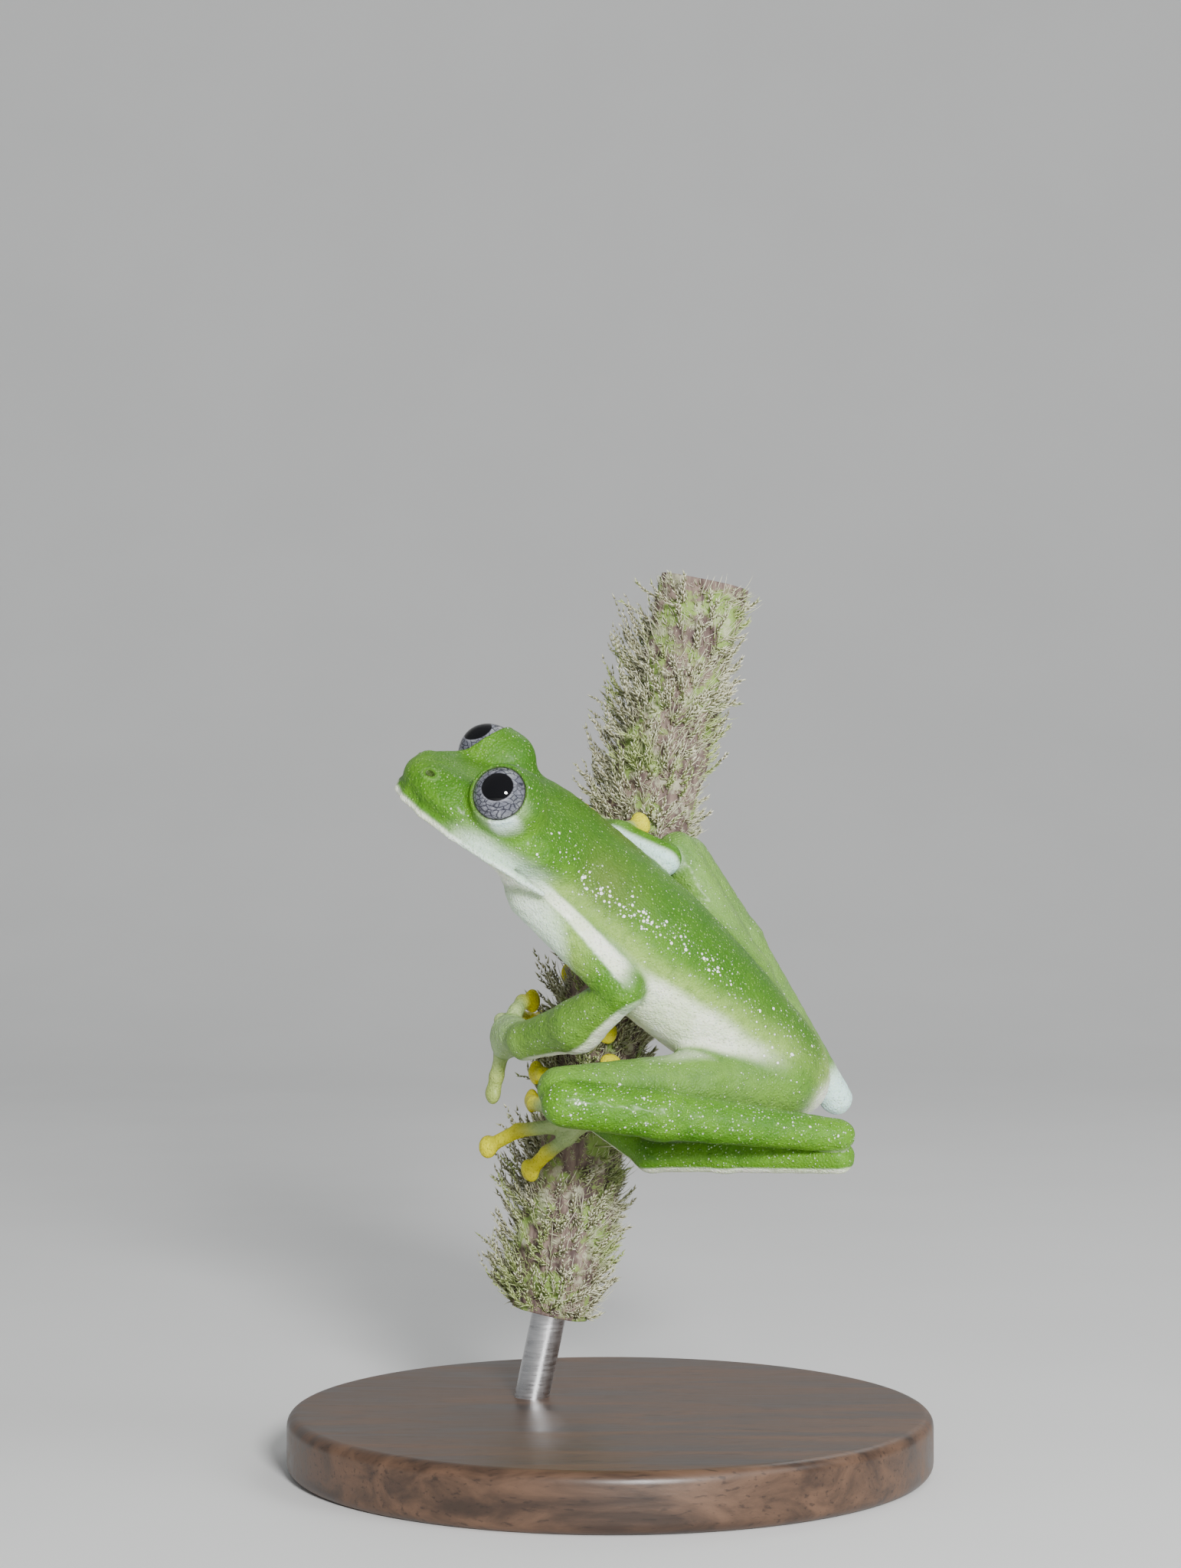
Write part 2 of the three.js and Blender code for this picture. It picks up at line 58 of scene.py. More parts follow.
class Frame:
    def __init__(self, o, f, l):
        self.o = np.array(o, float)
        self.f = unit(np.array(f, float))
        l = np.array(l, float)
        self.l = unit(l - self.f * np.dot(l, self.f))
        self.u = np.cross(self.f, self.l)

    def at(self, f, l, u):
        return self.o + self.f * f + self.l * l + self.u * u

    def local(self, p):
        q = p - self.o
        return np.stack([q @ self.f, q @ self.l, q @ self.u], -1)


SNOUT = V(-11.15, -10.8, 34.95)
HEAD = Frame(SNOUT, (-0.851, -0.291, 0.438), (0.12, -0.918, -0.377))
TRUNK = V(1.65, -6.8, 27.13)
BODY = Frame(TRUNK, (-0.693, -0.196, 0.693), (-0.1875, -0.88, -0.4365))
EYE_R, LID = 1.54, 0.14
# per eye, 1 left and -1 right: centre, gaze (forward, sideways, up), and how far from the centre the lids open
EYES = {1: ((-4.22, 3.11, 2.94), (0.60, 0.72, 0.32), 0.80), -1: ((-4.18, 3.12, 2.69), (0.78, 0.50, 0.36), 0.48)}
STEM_FOOT, STEM_HEAD, STEM_R, STEM_BOW = V(-3.62, 0, 7.48), V(4.46, 0, 45.56), 2.35, 0.35
STEM_DIR = unit(STEM_HEAD - STEM_FOOT)


def stem_axis(z):
    t = (np.asarray(z, float) - STEM_FOOT[2]) / (STEM_HEAD[2] - STEM_FOOT[2])
    x = STEM_FOOT[0] + (STEM_HEAD[0] - STEM_FOOT[0]) * t - STEM_BOW * np.sin(np.pi * np.clip(t, 0, 1))
    return np.stack([x, np.zeros_like(x), np.asarray(z, float)], -1)


def beside(deg, z, r):  # a point beside the stem
    a, t = stem_axis(z), math.radians(deg)
    return V(a[0] + r * math.cos(t), a[1] + r * math.sin(t), z)


# ------------------------------------------------------------------ distance fields, vectorised
# A primitive is (field, lowest corner, highest corner), so that far points can be skipped.
def cone(a, b, ra, rb):
    ab = b - a
    L = np.linalg.norm(ab)
    d = ab / L
    k = (ra - rb) / L
    c = math.sqrt(max(1e-9, 1 - k * k))

    def f(p):
        q = p - a
        t = q @ d
        r = np.sqrt(np.maximum((q * q).sum(-1) - t * t, 0))
        s = np.clip((t + r * k / c) / L, 0, 1)
        return np.hypot(r, t - s * L) - (ra + (rb - ra) * s)

    m = max(ra, rb)
    return f, np.minimum(a, b) - m, np.maximum(a, b) + m


def egg(fr, c, r):
    r = np.array(r, float)
    o = fr.at(*c)
    M = np.stack([fr.f, fr.l, fr.u], 1)

    def f(p):
        q = (p - o) @ M
        k0 = np.sqrt(((q / r) ** 2).sum(-1))
        k1 = np.sqrt(((q / (r * r)) ** 2).sum(-1))
        return k0 * (k0 - 1) / np.maximum(k1, 1e-9)

    return f, o - r.max(), o + r.max()


def smin(a, b, k):
    h = np.maximum(k - np.abs(a - b), 0) / k
    return np.minimum(a, b) - h * h * k * 0.25


def smax(a, b, k):
    return -smin(-a, -b, k)


def blend(k, *items):
    lo = np.min([i[1] for i in items], 0)
    hi = np.max([i[2] for i in items], 0)
    far = k + 0.6

    def f(p):
        out = np.full(len(p), 9.0)
        for g, a, b in items:
            near = np.all((p > a - far) & (p < b + far), axis=-1)
            if near.any():
                out[near] = smin(out[near], g(p[near]), k)
        return out

    return f, lo, hi


# ------------------------------------------------------------------ head
eye_c = {s: HEAD.at(e[0][0], e[0][1] * s, e[0][2]) for s, e in EYES.items()}
# the eyes look sideways and forward, a little up
eye_axis = {s: unit(HEAD.f * e[1][0] + HEAD.l * e[1][1] * s + HEAD.u * e[1][2]) for s, e in EYES.items()}
OPENS = {s: e[2] for s, e in EYES.items()}


def cut_open(item, s):
    """A shape over an eye, cut off where the lids open."""
    g, lo, hi = item
    c, ax = eye_c[s], eye_axis[s]
    return (lambda p: smax(g(p), (p - c) @ ax - OPENS[s], 0.12)), lo, hi


def lids(s):
    c, r = eye_c[s], EYE_R + LID
    return cut_open(((lambda p: np.linalg.norm(p - c, axis=-1) - r), c - r, c + r), s)


def dome(s, c, r):
    return cut_open(egg(HEAD, (c[0], c[1] * s, c[2]), r), s)


def lip(s):
    line = [(-0.42, 0.0, -0.08, 0.27), (-0.62, 0.85, 0.0, 0.27), (-1.46, 1.95, -0.02, 0.26), (-3.0, 3.05, 0.0, 0.25),
            (-4.8, 3.93, 0.06, 0.24), (-6.8, 4.28, -0.06, 0.2), (-8.2, 4.0, -0.28, 0.12)]
    return [cone(HEAD.at(a[0], a[1] * s, a[2]), HEAD.at(b[0], b[1] * s, b[2]), a[3], b[3]) for a, b in zip(line, line[1:])]


head = blend(0.5,
    blend(1.1,
        egg(HEAD, (-6.6, 0, 1.3), (3.6, 4.15, 1.85)),
        egg(HEAD, (-3.7, 0, 1.1), (3.55, 3.25, 1.5)),
        egg(HEAD, (-5.6, 0, 0.42), (4.1, 3.5, 0.95))),
    egg(HEAD, (-1.55, 0, 0.82), (1.28, 1.5, 1.05)),
    blend(0.25, *lip(1), *lip(-1)),
    *[cone(HEAD.at(-1.2, 0.92 * s, 1.52), HEAD.at(-2.8, 1.95 * s, 1.95), 0.40, 0.58) for s in (1, -1)],
    *[dome(s, (-5.12, 2.62, 2.7), (1.42, 1.55, 1.74)) for s in (1, -1)],
    *[dome(s, (-5.3, 2.4, 2.3), (1.4, 1.4, 1.3)) for s in (1, -1)],
    *[lids(s) for s in (1, -1)])

trunk = blend(1.6,
    egg(BODY, (8.2, 0, -0.5), (3.3, 3.55, 1.85)),
    egg(BODY, (4.9, 0, -0.3), (5.0, 3.75, 2.65)),
    egg(BODY, (-0.6, 0, -0.35), (6.3, 3.95, 3.2)),
    egg(BODY, (-6.0, 0, -0.1), (5.2, 3.1, 2.75)),
    egg(BODY, (-9.5, 0, 0.0), (2.6, 2.3, 2.0)))

# ------------------------------------------------------------------ limbs
shoulderL, elbowL, wristL, palmL = V(-4.05, -9.7, 29.6), V(0.05, -10.5, 24.85), V(-4.75, -5.3, 21.98), V(-5.75, -2.9, 22.25)
midL = V(-2.15, -8.3, 22.95)
shoulderR, elbowR, wristR, palmR = V(-2.4, -3.35, 30.8), V(2.25, -4.6, 31.2), V(-0.15, -4.25, 32.35), V(-0.5, -3.7, 32.5)
hipL, kneeL, shinL, heelL = V(8.0, -6.3, 19.9), V(-3.0, -12.2, 20.15), V(-2.75, -12.9, 19.5), V(10.65, -11.0, 17.75)
hockL, ankleL, footL = V(10.65, -10.4, 16.65), V(1.55, -7.0, 16.3), V(-1.5, -4.5, 18.1)
hipR, kneeR, shinR, heelR = V(8.5, -3.3, 20.9), V(2.95, -2.75, 31.5), V(3.5, -2.0, 31.2), V(11.3, -0.2, 18.6)
hockR, ankleR, footR = V(10.9, 0.9, 18.9), V(4.3, 1.3, 24.3), beside(25, 26.4, 3.55)

upper_arm_L = cone(shoulderL, elbowL, 1.55, 1.05)
forearm_L = blend(0.4, cone(elbowL, midL, 1.02, 1.32), cone(midL, wristL, 1.32, 0.96))
upper_arm_R = cone(shoulderR, elbowR, 1.05, 0.85)
forearm_R = cone(elbowR, wristR, 0.86, 0.78)
thigh_L = blend(0.5, cone(hipL, mix(hipL, kneeL, 0.4), 1.75, 1.65), cone(mix(hipL, kneeL, 0.4), kneeL, 1.65, 1.1))
shank_L = blend(0.4, cone(shinL, mix(shinL, heelL, 0.35), 1.15, 1.22), cone(mix(shinL, heelL, 0.35), heelL, 1.22, 0.82))
tarsus_L = blend(0.4, cone(hockL, mix(hockL, ankleL, 0.6), 0.85, 0.78), cone(mix(hockL, ankleL, 0.6), ankleL, 0.78, 0.78))
thigh_R = blend(0.5, cone(hipR, mix(hipR, kneeR, 0.4), 1.55, 1.45), cone(mix(hipR, kneeR, 0.4), kneeR, 1.45, 1.05))
shank_R = blend(0.4, cone(shinR, mix(shinR, heelR, 0.35), 1.1, 1.2), cone(mix(shinR, heelR, 0.35), heelR, 1.2, 0.85))
tarsus_R = blend(0.4, cone(hockR, mix(hockR, ankleR, 0.6), 0.78, 0.66), cone(mix(hockR, ankleR, 0.6), ankleR, 0.66, 0.72))

DIGIT_R, DISC_R, DISC_T = 0.36, 0.62, 0.34
digit_paths = []


def digit(*pts):
    pts = [np.array(p, float) for p in pts]
    out = [cone(a, b, DIGIT_R * (1 if i else 1.25), DIGIT_R) for i, (a, b) in enumerate(zip(pts, pts[1:]))]
    tip, d = pts[-1], unit(pts[-1] - pts[-2])
    o = unit(tip - stem_axis(tip[2]))
    out.append(egg(Frame(tip, d, np.cross(o, d)), (0.05, 0, 0), (DISC_R * 0.85, DISC_R, DISC_T)))
    digit_paths.append(pts)
    return blend(0.2, *out)


fingersL = [
    digit(palmL, (-4.3, -4.3, 21.9), (-2.4, -4.0, 22.1), (-0.7, -3.5, 22.3)),
    digit(palmL, (-5.35, -2.6, 23.3), (-5.0, -2.1, 23.75), (-4.55, -1.4, 23.75)),
    digit(palmL, (-6.1, -1.5, 22.75), (-5.2, 0.3, 22.8), (-4.1, 1.6, 22.5)),
    digit(palmL, (-6.1, -2.3, 21.0), (-6.35, -1.8, 19.9), (-6.55, -1.5, 19.0))]
fingersR = [
    digit(palmR, (0.4, -3.7, 32.7), (1.05, -3.1, 32.95)),
    digit(palmR, (-1.0, -3.1, 33.0), (-1.6, -2.0, 33.4), (-1.8, -1.1, 33.4)),
    digit(palmR, (-1.6, -2.9, 32.2), (-2.0, -1.3, 32.3), (-1.85, -0.2, 32.3)),
    digit(palmR, (-1.5, -3.1, 31.6), (-2.1, -1.7, 31.2), (-2.1, -0.6, 31.0))]
toesL = [
    digit(footL, (-0.9, -4.0, 19.6), (-0.45, -3.45, 20.6)),
    digit(footL, (-2.6, -3.9, 19.3), (-3.9, -2.3, 20.0), (-4.3, -1.5, 20.05)),
    digit(footL, (-3.5, -3.7, 18.4), (-4.4, -2.0, 18.5), (-4.55, -0.5, 18.5)),
    digit(footL, (-3.4, -4.0, 17.5), (-5.2, -3.0, 17.2), (-6.75, -2.2, 16.3)),
    digit(footL, (-2.7, -4.2, 16.9), (-3.7, -3.2, 16.1), (-4.6, -2.3, 15.1))]
toesR = [
    digit(footR, beside(60, 28.2, 3.3), beside(85, 29.2, 3.0)),
    digit(footR, beside(65, 27.6, 3.4), beside(100, 28.2, 3.2), beside(124, 28.3, 3.0)),
    digit(footR, beside(68, 26.6, 3.4), beside(108, 26.8, 3.2), beside(138, 27.0, 3.0)),
    digit(footR, beside(66, 25.6, 3.4), beside(108, 25.2, 3.2), beside(140, 25.0, 3.0)),
    digit(footR, beside(62, 24.9, 3.4), beside(95, 23.9, 3.2), beside(122, 23.3, 3.0))]
palm_L = blend(0.4, cone(wristL, palmL, 0.88, 0.86), cone(mix(wristL, palmL, 0.6), palmL + V(-0.05, 0.1, -0.55), 0.84, 0.82))
palm_R = cone(wristR, palmR, 0.74, 0.66)
sole_L = cone(ankleL, footL, 0.74, 0.62)
sole_R = cone(ankleR, footR, 0.7, 0.62)

hand_L = blend(0.35, forearm_L, palm_L, *fingersL)
hand_R = blend(0.35, forearm_R, palm_R, *fingersR)
leg_L = blend(0.35, tarsus_L, sole_L, *toesL)
leg_R = blend(0.35, tarsus_R, sole_R, *toesR)

def near_box(p, item, far):
    return np.all((p > item[1] - far) & (p < item[2] + far), axis=-1)


def join(out, p, item, k):
    m = near_box(p, item, k + 0.6)
    if m.any():
        out[m] = smin(out[m], item[0](p[m]), k)


def creature(p):
    out = blend(0.9, head, trunk)[0](p)
    for item, k in ((upper_arm_L, 0.8), (thigh_L, 0.9), (upper_arm_R, 0.5), (thigh_R, 0.6)):
        join(out, p, item, k)
    for item, k in ((hand_L, 0.18), (hand_R, 0.12), (shank_L, 0.1), (shank_R, 0.12), (leg_L, 0.08), (leg_R, 0.1)):
        join(out, p, item, k)
    return out


NOSTRIL = (-0.95, 1.36, 1.72)


def skin_field(p):
    out = creature(p)
    h = HEAD.local(p)
    near = (h[:, 0] > -10) & (np.abs(h[:, 1]) < 6) & (h[:, 2] > -3) & (h[:, 2] < 6)
    if near.any():
        q, hh, o = p[near], h[near], out[near]
        for s in (1, -1):
            c, ax = eye_c[s], eye_axis[s]
            d = q - c
            r = np.linalg.norm(d, axis=-1)
            t = d @ ax
            # lids: a thin rim round the window where the ball shows
            out_r = np.sqrt(np.maximum(r * r - t * t, 0))
            w = math.sqrt(EYE_R ** 2 - OPENS[s] ** 2)
            o = smin(o, np.hypot(out_r - w - 0.07, t - OPENS[s] + 0.03) - 0.105, 0.14)
            # a soft fold under and behind the eye
            o = o + 0.04 * np.exp(-(((r - EYE_R - 0.42) / 0.16) ** 2)) * np.clip(-(d @ HEAD.u) * 0.7, 0, 1) * (t > -0.4)
            # the window: a round recess that the ball fills
            o = smax(o, -np.maximum(out_r - w, OPENS[s] - 0.32 - t), 0.05)
            # nostril: a small swelling with a long pit
            o = smin(o, np.linalg.norm(q - PITS[s] + PIT_OUT[s] * 0.2, axis=-1) - 0.30, 0.3)
            o = smax(o, (1 - pit_reach(q, s)) * 0.15, 0.06)
            # ear: a faint disc behind the eye
            e = HEAD.at(-6.9, 4.05 * s, 1.55)
            de = np.linalg.norm(q - e, axis=-1)
            o = o - 0.05 * np.exp(-(((de - 0.62) / 0.16) ** 2))
        # the mouth: a fine groove under the upper lip
        y = np.abs(hh[:, 1])
        line_u = np.interp(hh[:, 0], [-8.3, -6.8, -4.8, -3.0, -1.46, -0.4], [-0.52, -0.27, -0.19, -0.25, -0.28, -0.34])
        g = np.abs(hh[:, 2] - line_u)
        gate = np.clip((hh[:, 0] + 7.8) / 1.4, 0, 1)
        o = o + 0.11 * gate * np.exp(-((g / 0.12) ** 2)) * (np.abs(o) < 0.6)
        out[near] = o
    return out


# ------------------------------------------------------------------ the skin as one mesh
def surface(field, lo, hi, step):
    """Quads over the field's zero set: a coarse pass finds the cells, a fine pass fills them."""
    C = 6
    n = np.ceil((hi - lo) / (step * C)).astype(int) + 1
    gx, gy, gz = [lo[i] + (np.arange(n[i]) + 0.5) * step * C for i in range(3)]
    cen = np.stack(np.meshgrid(gx, gy, gz, indexing="ij"), -1).reshape(-1, 3)
    d = field(cen)
    hot = np.abs(d) < step * C * 0.87 * 1.25 + 0.25
    N = n * C + 1
    grid = np.empty(N, np.float32)
    coarse = d.reshape(n).astype(np.float32)
    grid[:-1, :-1, :-1] = coarse.repeat(C, 0).repeat(C, 1).repeat(C, 2)
    grid[-1], grid[:, -1], grid[:, :, -1] = 9, 9, 9
    idx = np.argwhere(hot.reshape(n))
    o = np.arange(C + 1)
    off = np.stack(np.meshgrid(o, o, o, indexing="ij"), -1).reshape(-1, 3)
    flat = (idx[:, None, :] * C + off[None]).reshape(-1, 3)
    key = np.unique((flat[:, 0].astype(np.int64) * N[1] + flat[:, 1]) * N[2] + flat[:, 2])
    pts = np.stack([key // (N[1] * N[2]), (key // N[2]) % N[1], key % N[2]], -1)
    vals = np.concatenate([field(lo + c * step) for c in np.array_split(pts, max(1, len(pts) // 400000))])
    grid.reshape(-1)[key] = vals
    inside = grid < 0
    # cells with a change of sign
    cnt = np.zeros(tuple(N - 1), np.int8)
    for a in (0, 1):
        for b in (0, 1):
            for c in (0, 1):
                cnt += inside[a:N[0] - 1 + a, b:N[1] - 1 + b, c:N[2] - 1 + c]
    act = (cnt > 0) & (cnt < 8)
    cells = np.argwhere(act)
    vid = np.full(tuple(N - 1), -1, np.int32)
    vid[act] = np.arange(len(cells))
    acc = np.zeros((len(cells), 3))
    num = np.zeros(len(cells))
    corners = [(a, b, c) for a in (0, 1) for b in (0, 1) for c in (0, 1)]
    val = {k: grid[cells[:, 0] + k[0], cells[:, 1] + k[1], cells[:, 2] + k[2]] for k in corners}
    for a in corners:
        for ax in range(3):
            if a[ax]:
                continue
            b = tuple(1 if i == ax else a[i] for i in range(3))
            cross = (val[a] < 0) != (val[b] < 0)
            t = val[a][cross] / (val[a][cross] - val[b][cross])
            p = np.tile(np.array(a, float), (len(t), 1))
            p[:, ax] += t
            acc[cross] += p
            num[cross] += 1
    verts = lo + (cells + acc / num[:, None]) * step
    quads = []
    for ax in range(3):
        s0 = [slice(1, N[i] - 1) for i in range(3)]
        s1 = list(s0)
        s0[ax], s1[ax] = slice(0, N[ax] - 1), slice(1, N[ax])
        A, B = inside[tuple(s0)], inside[tuple(s1)]
        base = np.array([0 if i == ax else 1 for i in range(3)])
        u, v = (ax + 1) % 3, (ax + 2) % 3
        for flip, m in ((False, A & ~B), (True, ~A & B)):
            e = np.argwhere(m) + base
            q = []
            for du, dv in ((-1, -1), (0, -1), (0, 0), (-1, 0)):
                c = e.copy()
                c[:, u] += du
                c[:, v] += dv
                q.append(vid[c[:, 0], c[:, 1], c[:, 2]])
            q = np.stack(q, 1)
            quads.append(q[:, ::-1] if flip else q)
    return verts, np.concatenate(quads)


def gradient(field, p, e=0.02):
    k = np.array([[1, -1, -1], [-1, -1, 1], [-1, 1, -1], [1, 1, 1]], float)
    g = sum(kk * field(p + kk * e)[:, None] for kk in k)
    return g / np.maximum(np.linalg.norm(g, axis=-1, keepdims=True), 1e-9)


def islands(nv, faces):
    """Label of each vertex's connected piece."""
    lab = np.arange(nv)
    e = np.concatenate([faces[:, [i, (i + 1) % faces.shape[1]]] for i in range(faces.shape[1])])
    for _ in range(400):
        m = np.minimum(lab[e[:, 0]], lab[e[:, 1]])
        new = lab.copy()
        np.minimum.at(new, e[:, 0], m)
        np.minimum.at(new, e[:, 1], m)
        new = new[new]
        if (new == lab).all():
            break
        lab = new
    return lab


def smooth_noise(p, seed, size):
    """A cheap smooth noise: a sum of randomly turned sines."""
    r = np.random.default_rng(seed)
    out = np.zeros(len(p))
    for _ in range(9):
        k = r.normal(size=3)
        k *= (0.7 + 0.8 * r.random()) * 2 * np.pi / size / np.linalg.norm(k)
        out += np.sin(p @ k + r.random() * 6.28)
    return out / 3.0


def mesh_object(name, verts, faces, smooth=True):
    me = bpy.data.meshes.new(name)
    nv, nf, k = len(verts), len(faces), faces.shape[1]
    me.vertices.add(nv)
    me.vertices.foreach_set("co", (np.asarray(verts) * MM).astype(np.float32).ravel())
    me.loops.add(nf * k)
    me.loops.foreach_set("vertex_index", faces.astype(np.int32).ravel())
    me.polygons.add(nf)
    me.polygons.foreach_set("loop_start", np.arange(0, nf * k, k, dtype=np.int32))
    me.update(calc_edges=True)
    if smooth:
        me.polygons.foreach_set("use_smooth", np.ones(nf, bool))
    me.validate()
    ob = bpy.data.objects.new(name, me)
    bpy.context.collection.objects.link(ob)
    return ob


def attribute(ob, name, values):
    a = ob.data.attributes.new(name, "FLOAT", "POINT")
    a.data.foreach_set("value", np.asarray(values, np.float32))


PITS, PIT_OUT, PIT_LONG = {}, {}, {}
for s in (1, -1):
    p = HEAD.at(NOSTRIL[0], NOSTRIL[1] * s, NOSTRIL[2])[None]
    for _ in range(4):
        g = gradient(creature, p)
        p = p - g * creature(p)[:, None]
    PITS[s], PIT_OUT[s] = p[0], g[0]
    d = HEAD.f * -0.90 + HEAD.l * 0.35 * s - HEAD.u * 0.21
    PIT_LONG[s] = unit(d - g[0] * (d @ g[0]))


def pit_reach(p, s):
    """1 on the edge of a nostril, less inside."""
    d = p - PITS[s]
    a = d @ PIT_LONG[s]
    return np.hypot(np.sqrt(np.maximum((d * d).sum(-1) - a * a, 0)) / 0.17, a / 0.26)


step = 0.115
LO, HI = V(-12.4, -16.4, 13.4), V(13.2, 4.6, 41.2)
sv, sf = surface(skin_field, LO, HI, step)
for _ in range(2):
    g = gradient(skin_field, sv)
    d = skin_field(sv)
    sv = sv - g * np.clip(d, -step, step)[:, None] * 0.9
lab = islands(len(sv), sf)
main = np.bincount(lab).argmax()
keep = lab == main
remap = np.cumsum(keep) - 1
sf = remap[sf[keep[sf[:, 0]]]]
sv = sv[keep]
normal = gradient(skin_field, sv)

# ------------------------------------------------------------------ where each marking lies
hl, bl = HEAD.local(sv), BODY.local(sv)
ss = lambda x, a, b: (lambda t: t * t * (3 - 2 * t))(np.clip((x - a) / (b - a), 0, 1))
parts = {"head": head, "trunk": trunk, "uaL": upper_arm_L, "uaR": upper_arm_R, "faL": forearm_L, "faR": forearm_R,
         "thL": thigh_L, "thR": thigh_R, "shL": shank_L, "shR": shank_R, "taL": tarsus_L, "taR": tarsus_R,
         "paL": palm_L, "paR": palm_R, "soL": sole_L, "soR": sole_R}
names = list(parts)
dist = np.stack([np.where(near_box(sv, parts[n], 1.2), parts[n][0](sv), 5.0) for n in names], 1)
fd = np.full(len(sv), 5.0)  # distance to the fingers and toes
along = np.zeros(len(sv))  # 0 at the root of a digit, 1 at its tip
for f, pts in zip([*fingersL, *fingersR, *toesL, *toesR], digit_paths):
    m = near_box(sv, f, 0.6)
    if not m.any():
        continue
    d = f[0](sv[m])
    tip, root = pts[-1], pts[0]
    a = 1 - np.clip(np.linalg.norm(sv[m] - tip, axis=-1) / np.linalg.norm(tip - root), 0, 1)
    i = np.flatnonzero(m)
    better = d < fd[i]
    fd[i[better]], along[i[better]] = d[better], a[better]
which = dist.argmin(1)
is_digit = ss(dist.min(1) - fd, -0.15, 0.15)
W = {n: np.exp(-np.maximum(dist[:, i] - dist.min(1), 0) / 0.25) for i, n in enumerate(names)}
tot = sum(W.values())
W = {n: w / tot * (1 - is_digit) for n, w in W.items()}

body_w = W["trunk"] + W["head"]
# height on the flank: 0 back, 1 belly
side = np.clip(-bl[:, 2] / 3.1, -1, 1)
nb = np.stack([normal @ BODY.f, normal @ BODY.l, normal @ BODY.u], -1)
nh = np.stack([normal @ HEAD.f, normal @ HEAD.l, normal @ HEAD.u], -1)
wob = smooth_noise(sv, 3, 3.0) * 0.12
# the upper edge of the white flank, as (forward, up); it starts at the corner of the mouth
WHITE_EDGE = ((-12, 1.15), (-6.9, 1.0), (-4.6, 0.85), (-2.0, 0.5), (0.4, 0.28), (2.4, 0.22), (4.0, 0.16), (5.5, 0.06), (7.5, 0.0), (9.5, -0.25))
over = bl[:, 2] - np.interp(bl[:, 0], *zip(*WHITE_EDGE))  # height over that edge
soft = np.interp(bl[:, 0], (-7, -2, 2, 6), (1.1, 0.9, 0.5, 0.2))
belly_t = 1 - ss(over + wob * 0.5, -0.3 * soft, 0.9 * soft)
glow = 1 - ss(over + wob * 0.6, 0.3 * soft, 1.1 + 0.8 * soft)  # the pale green above it
chin = ss(-0.1 - hl[:, 2] + wob * 0.5, 0.0, 0.3)
lip_u = np.interp(hl[:, 0], [-8.2, -6.8, -4.8, -3.0, -1.46, -0.42], [-0.24, -0.04, 0.06, 0.0, -0.02, -0.06])
lip_w = np.exp(-(((hl[:, 2] - lip_u + 0.02) / 0.21) ** 2)) * ss(hl[:, 0], -9.6, -8.2)
lip_glow = 0.62 * np.exp(-(((hl[:, 2] - lip_u - 0.3) / 0.8) ** 2)) * ss(-hl[:, 0], 1.6, 4.2)
under_head = ss(-(hl[:, 2] - lip_u + 0.2), 0.0, 0.2)
white = W["trunk"] * belly_t + W["head"] * np.maximum.reduce([0.97 * lip_w, lip_glow, chin, under_head])
glow = W["trunk"] * glow + W["head"] * 0.25 * lip_glow
# the band of warts along the side, where the painted white glints are densest, as (forward, sideways, up)
BAND = V(*[[8.6, 3.8, 1.9], [7.4, 3.5, 1.85], [6.2, 3.15, 1.55], [4.9, 3.05, 1.3], [3.5, 3.0, 1.45], [2.25, 2.75, 1.8], [0.6, 2.4, 2.15],
           [-0.8, 2.2, 2.35], [-2.1, 1.95, 2.4], [-3.6, 2.0, 2.3], [-5.2, 2.2, 2.0], [-7.0, 2.35, 1.6], [-8.6, 2.9, 1.3]])
bq = np.stack([bl[:, 0], np.abs(bl[:, 1]), bl[:, 2]], -1)
band_d = np.full(len(sv), 99.0)
for a, b in zip(BAND, BAND[1:]):
    t = np.clip((bq - a) @ (b - a) / ((b - a) @ (b - a)), 0, 1)
    band_d = np.minimum(band_d, np.linalg.norm(bq - a - t[:, None] * (b - a), axis=-1))


def limb_side(a, b, toward):
    """1 on the side of a limb that faces the given direction, -1 on the other."""
    d = unit(b - a)
    t = unit(toward - d * np.dot(toward, d))
    return normal @ t


down = V(0, 0, -1)
arm_t = (sv - shoulderL) @ (elbowL - shoulderL) / ((elbowL - shoulderL) @ (elbowL - shoulderL))
front = limb_side(shoulderL, elbowL, V(-0.75, 0.3, -0.6))
white = np.maximum(white, W["uaL"] * ss(0.52 - arm_t + 0.34 * front + wob * 0.5, 0.0, 0.42) * 0.85)
glow = np.maximum(glow, W["uaL"] * ss(0.95 - arm_t + 0.1 * front, 0.0, 0.5) * 0.8)
under_fa = ss(limb_side(elbowL, wristL, V(0.1, 0.2, -1)), 0.62, 0.86)
white = np.maximum(white, W["faL"] * under_fa * 0.95)
under_ta = ss(limb_side(hockL, ankleL, V(0.0, 0.1, -1)), 0.42, 0.72)
white = np.maximum(white, (W["taL"] + W["soL"]) * under_ta * 0.97)
far_arm = (W["faR"] + W["uaR"] + W["paR"]) * ss(limb_side(elbowR, wristR, V(0, -0.5, -0.7)), -0.3, 0.4)
far_heel = (W["shR"] + W["taR"]) * ss(-np.linalg.norm(sv - heelR, axis=-1), -2.6, -1.0)
white = np.maximum(white, 0.95 * far_arm)
white = np.maximum(white, 0.9 * far_heel)
white = np.maximum(white, 0.17 * (W["thR"] + W["shR"]))
inner_th = ss(limb_side(hipL, kneeL, V(0.25, 0.4, 0.85)), 0.3, 0.9) * ss((sv - kneeL) @ unit(hipL - kneeL), 2.0, 8.0)
white = np.maximum(white, W["thL"] * np.maximum(inner_th * 0.5, 0.12))
white = np.maximum(white, (W["paL"] + W["paR"]) * 0.3)
white = np.maximum(white, 0.4 * is_digit * (1 - along))
